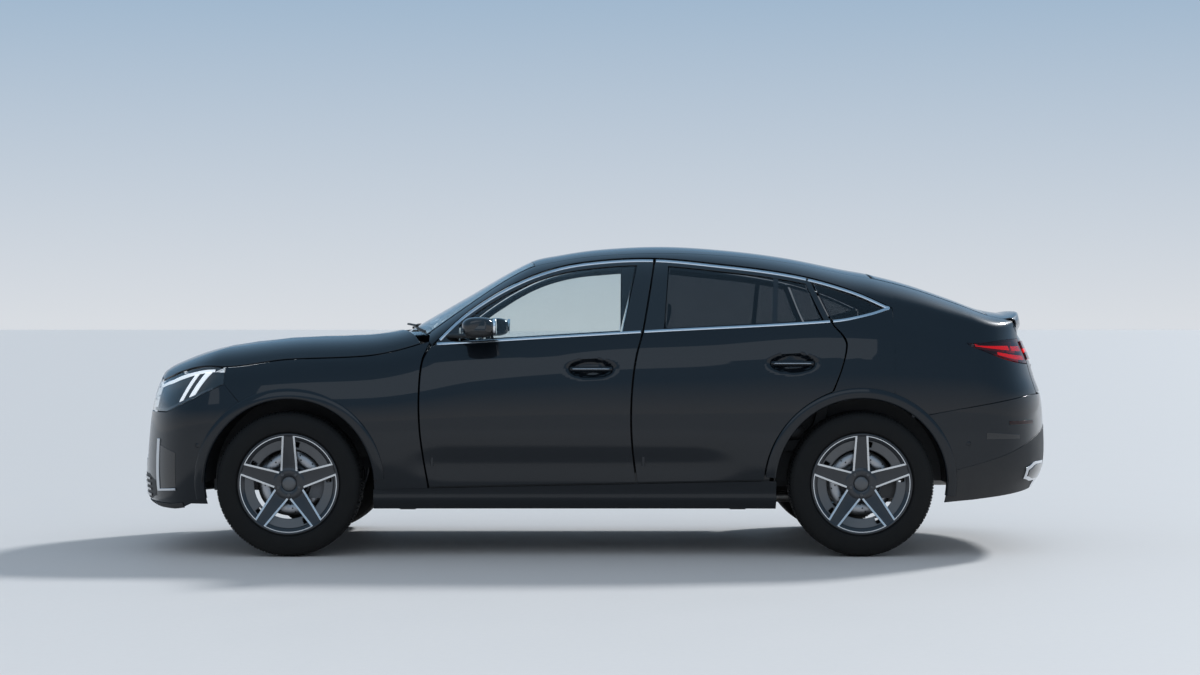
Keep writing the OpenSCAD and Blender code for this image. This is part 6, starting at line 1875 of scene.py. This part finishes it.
# floor, light and camera
stage = {"floor": 700.0, "floorColor": (0.70, 0.71, 0.72), "skyLow": (0.69, 0.72, 0.76, 1),
         "skyHigh": (0.22, 0.38, 0.56, 1), "skyReach": 0.19, "light": (0.42, 0.46, 0.51, 1), "sun": 2.4,
         "sunWay": (-1.0, -1.25, -1.1), "sunAngle": 7.0, "fill": 60, "fillSize": (9, 4),
         "fillPlace": (-1.0, -10.0, 5.5), "fillAim": (0, 0, 0.7), "lens": 71.6, "sensor": 36,
         "cameraPlace": (0.028, -12.93, 1.183), "cameraDip": 0.37}
floorLook = material("studioFloor", speckle, stage["floorColor"], [c * 1.04 for c in stage["floorColor"]], 30,
                     (0.6, 0.75))
corners = np.array([[-1, -1, 0], [1, -1, 0], [1, 1, 0], [-1, 1, 0]]) * stage["floor"] / mm / 2
floorMesh = meshOf("studioFloor", corners, [[0, 1, 2, 3]], [floorLook], smooth=False)
objectOf("studioFloor", floorMesh)

world = bpy.data.worlds.new("studio")
scene.world = world
world.use_nodes = True
tree = world.node_tree
place = addNode(tree, "TexCoord")
height = addNode(tree, "SeparateXYZ")
ramp = addNode(tree, "ValToRGB")
low, high = ramp.color_ramp.elements
low.position, low.color = 0.0, stage["skyLow"]
high.position, high.color = stage["skyReach"], stage["skyHigh"]
# the sky's colour for the camera and mirror rays, an even grey for the light
seen = addNode(tree, "Mix", data_type="RGBA")
seen.inputs["A"].default_value = stage["light"]
rays = addNode(tree, "LightPath").outputs
looks = rays["Is Camera Ray"]
for ray in ("Is Glossy Ray", "Is Transmission Ray"):
    either = addNode(tree, "Math", operation="MAXIMUM")
    wire(tree, (looks, either.inputs[0]), (rays[ray], either.inputs[1]))
    looks = either.outputs[0]
wire(tree, (place.outputs["Generated"], height.inputs["Vector"]), (height.outputs["Z"], ramp.inputs["Fac"]),
     (ramp.outputs["Color"], seen.inputs["B"]), (looks, seen.inputs["Factor"]),
     (seen.outputs["Result"], tree.nodes["Background"].inputs["Color"]))

sun = bpy.data.lights.new("softSun", "SUN")
sun.energy = stage["sun"]
sun.angle = math.radians(stage["sunAngle"])
sunObject = objectOf("softSun", sun)
sunObject.rotation_euler = Vector(stage["sunWay"]).to_track_quat("-Z", "Y").to_euler()

fill = bpy.data.lights.new("nearBox", "AREA")
fill.shape = "RECTANGLE"
fill.size, fill.size_y = stage["fillSize"]
fill.energy = stage["fill"]
fillObject = objectOf("nearBox", fill)
fillObject.location = stage["fillPlace"]
fillWay = Vector(stage["fillAim"]) - fillObject.location
fillObject.rotation_euler = fillWay.to_track_quat("-Z", "Y").to_euler()

camera = bpy.data.cameras.new("sideCamera")
camera.lens = stage["lens"]
camera.sensor_width = stage["sensor"]
cameraObject = objectOf("sideCamera", camera)
cameraObject.location = stage["cameraPlace"]
cameraObject.rotation_euler = (math.radians(90 - stage["cameraDip"]), 0, 0)
scene.camera = cameraObject

print("scene ready")
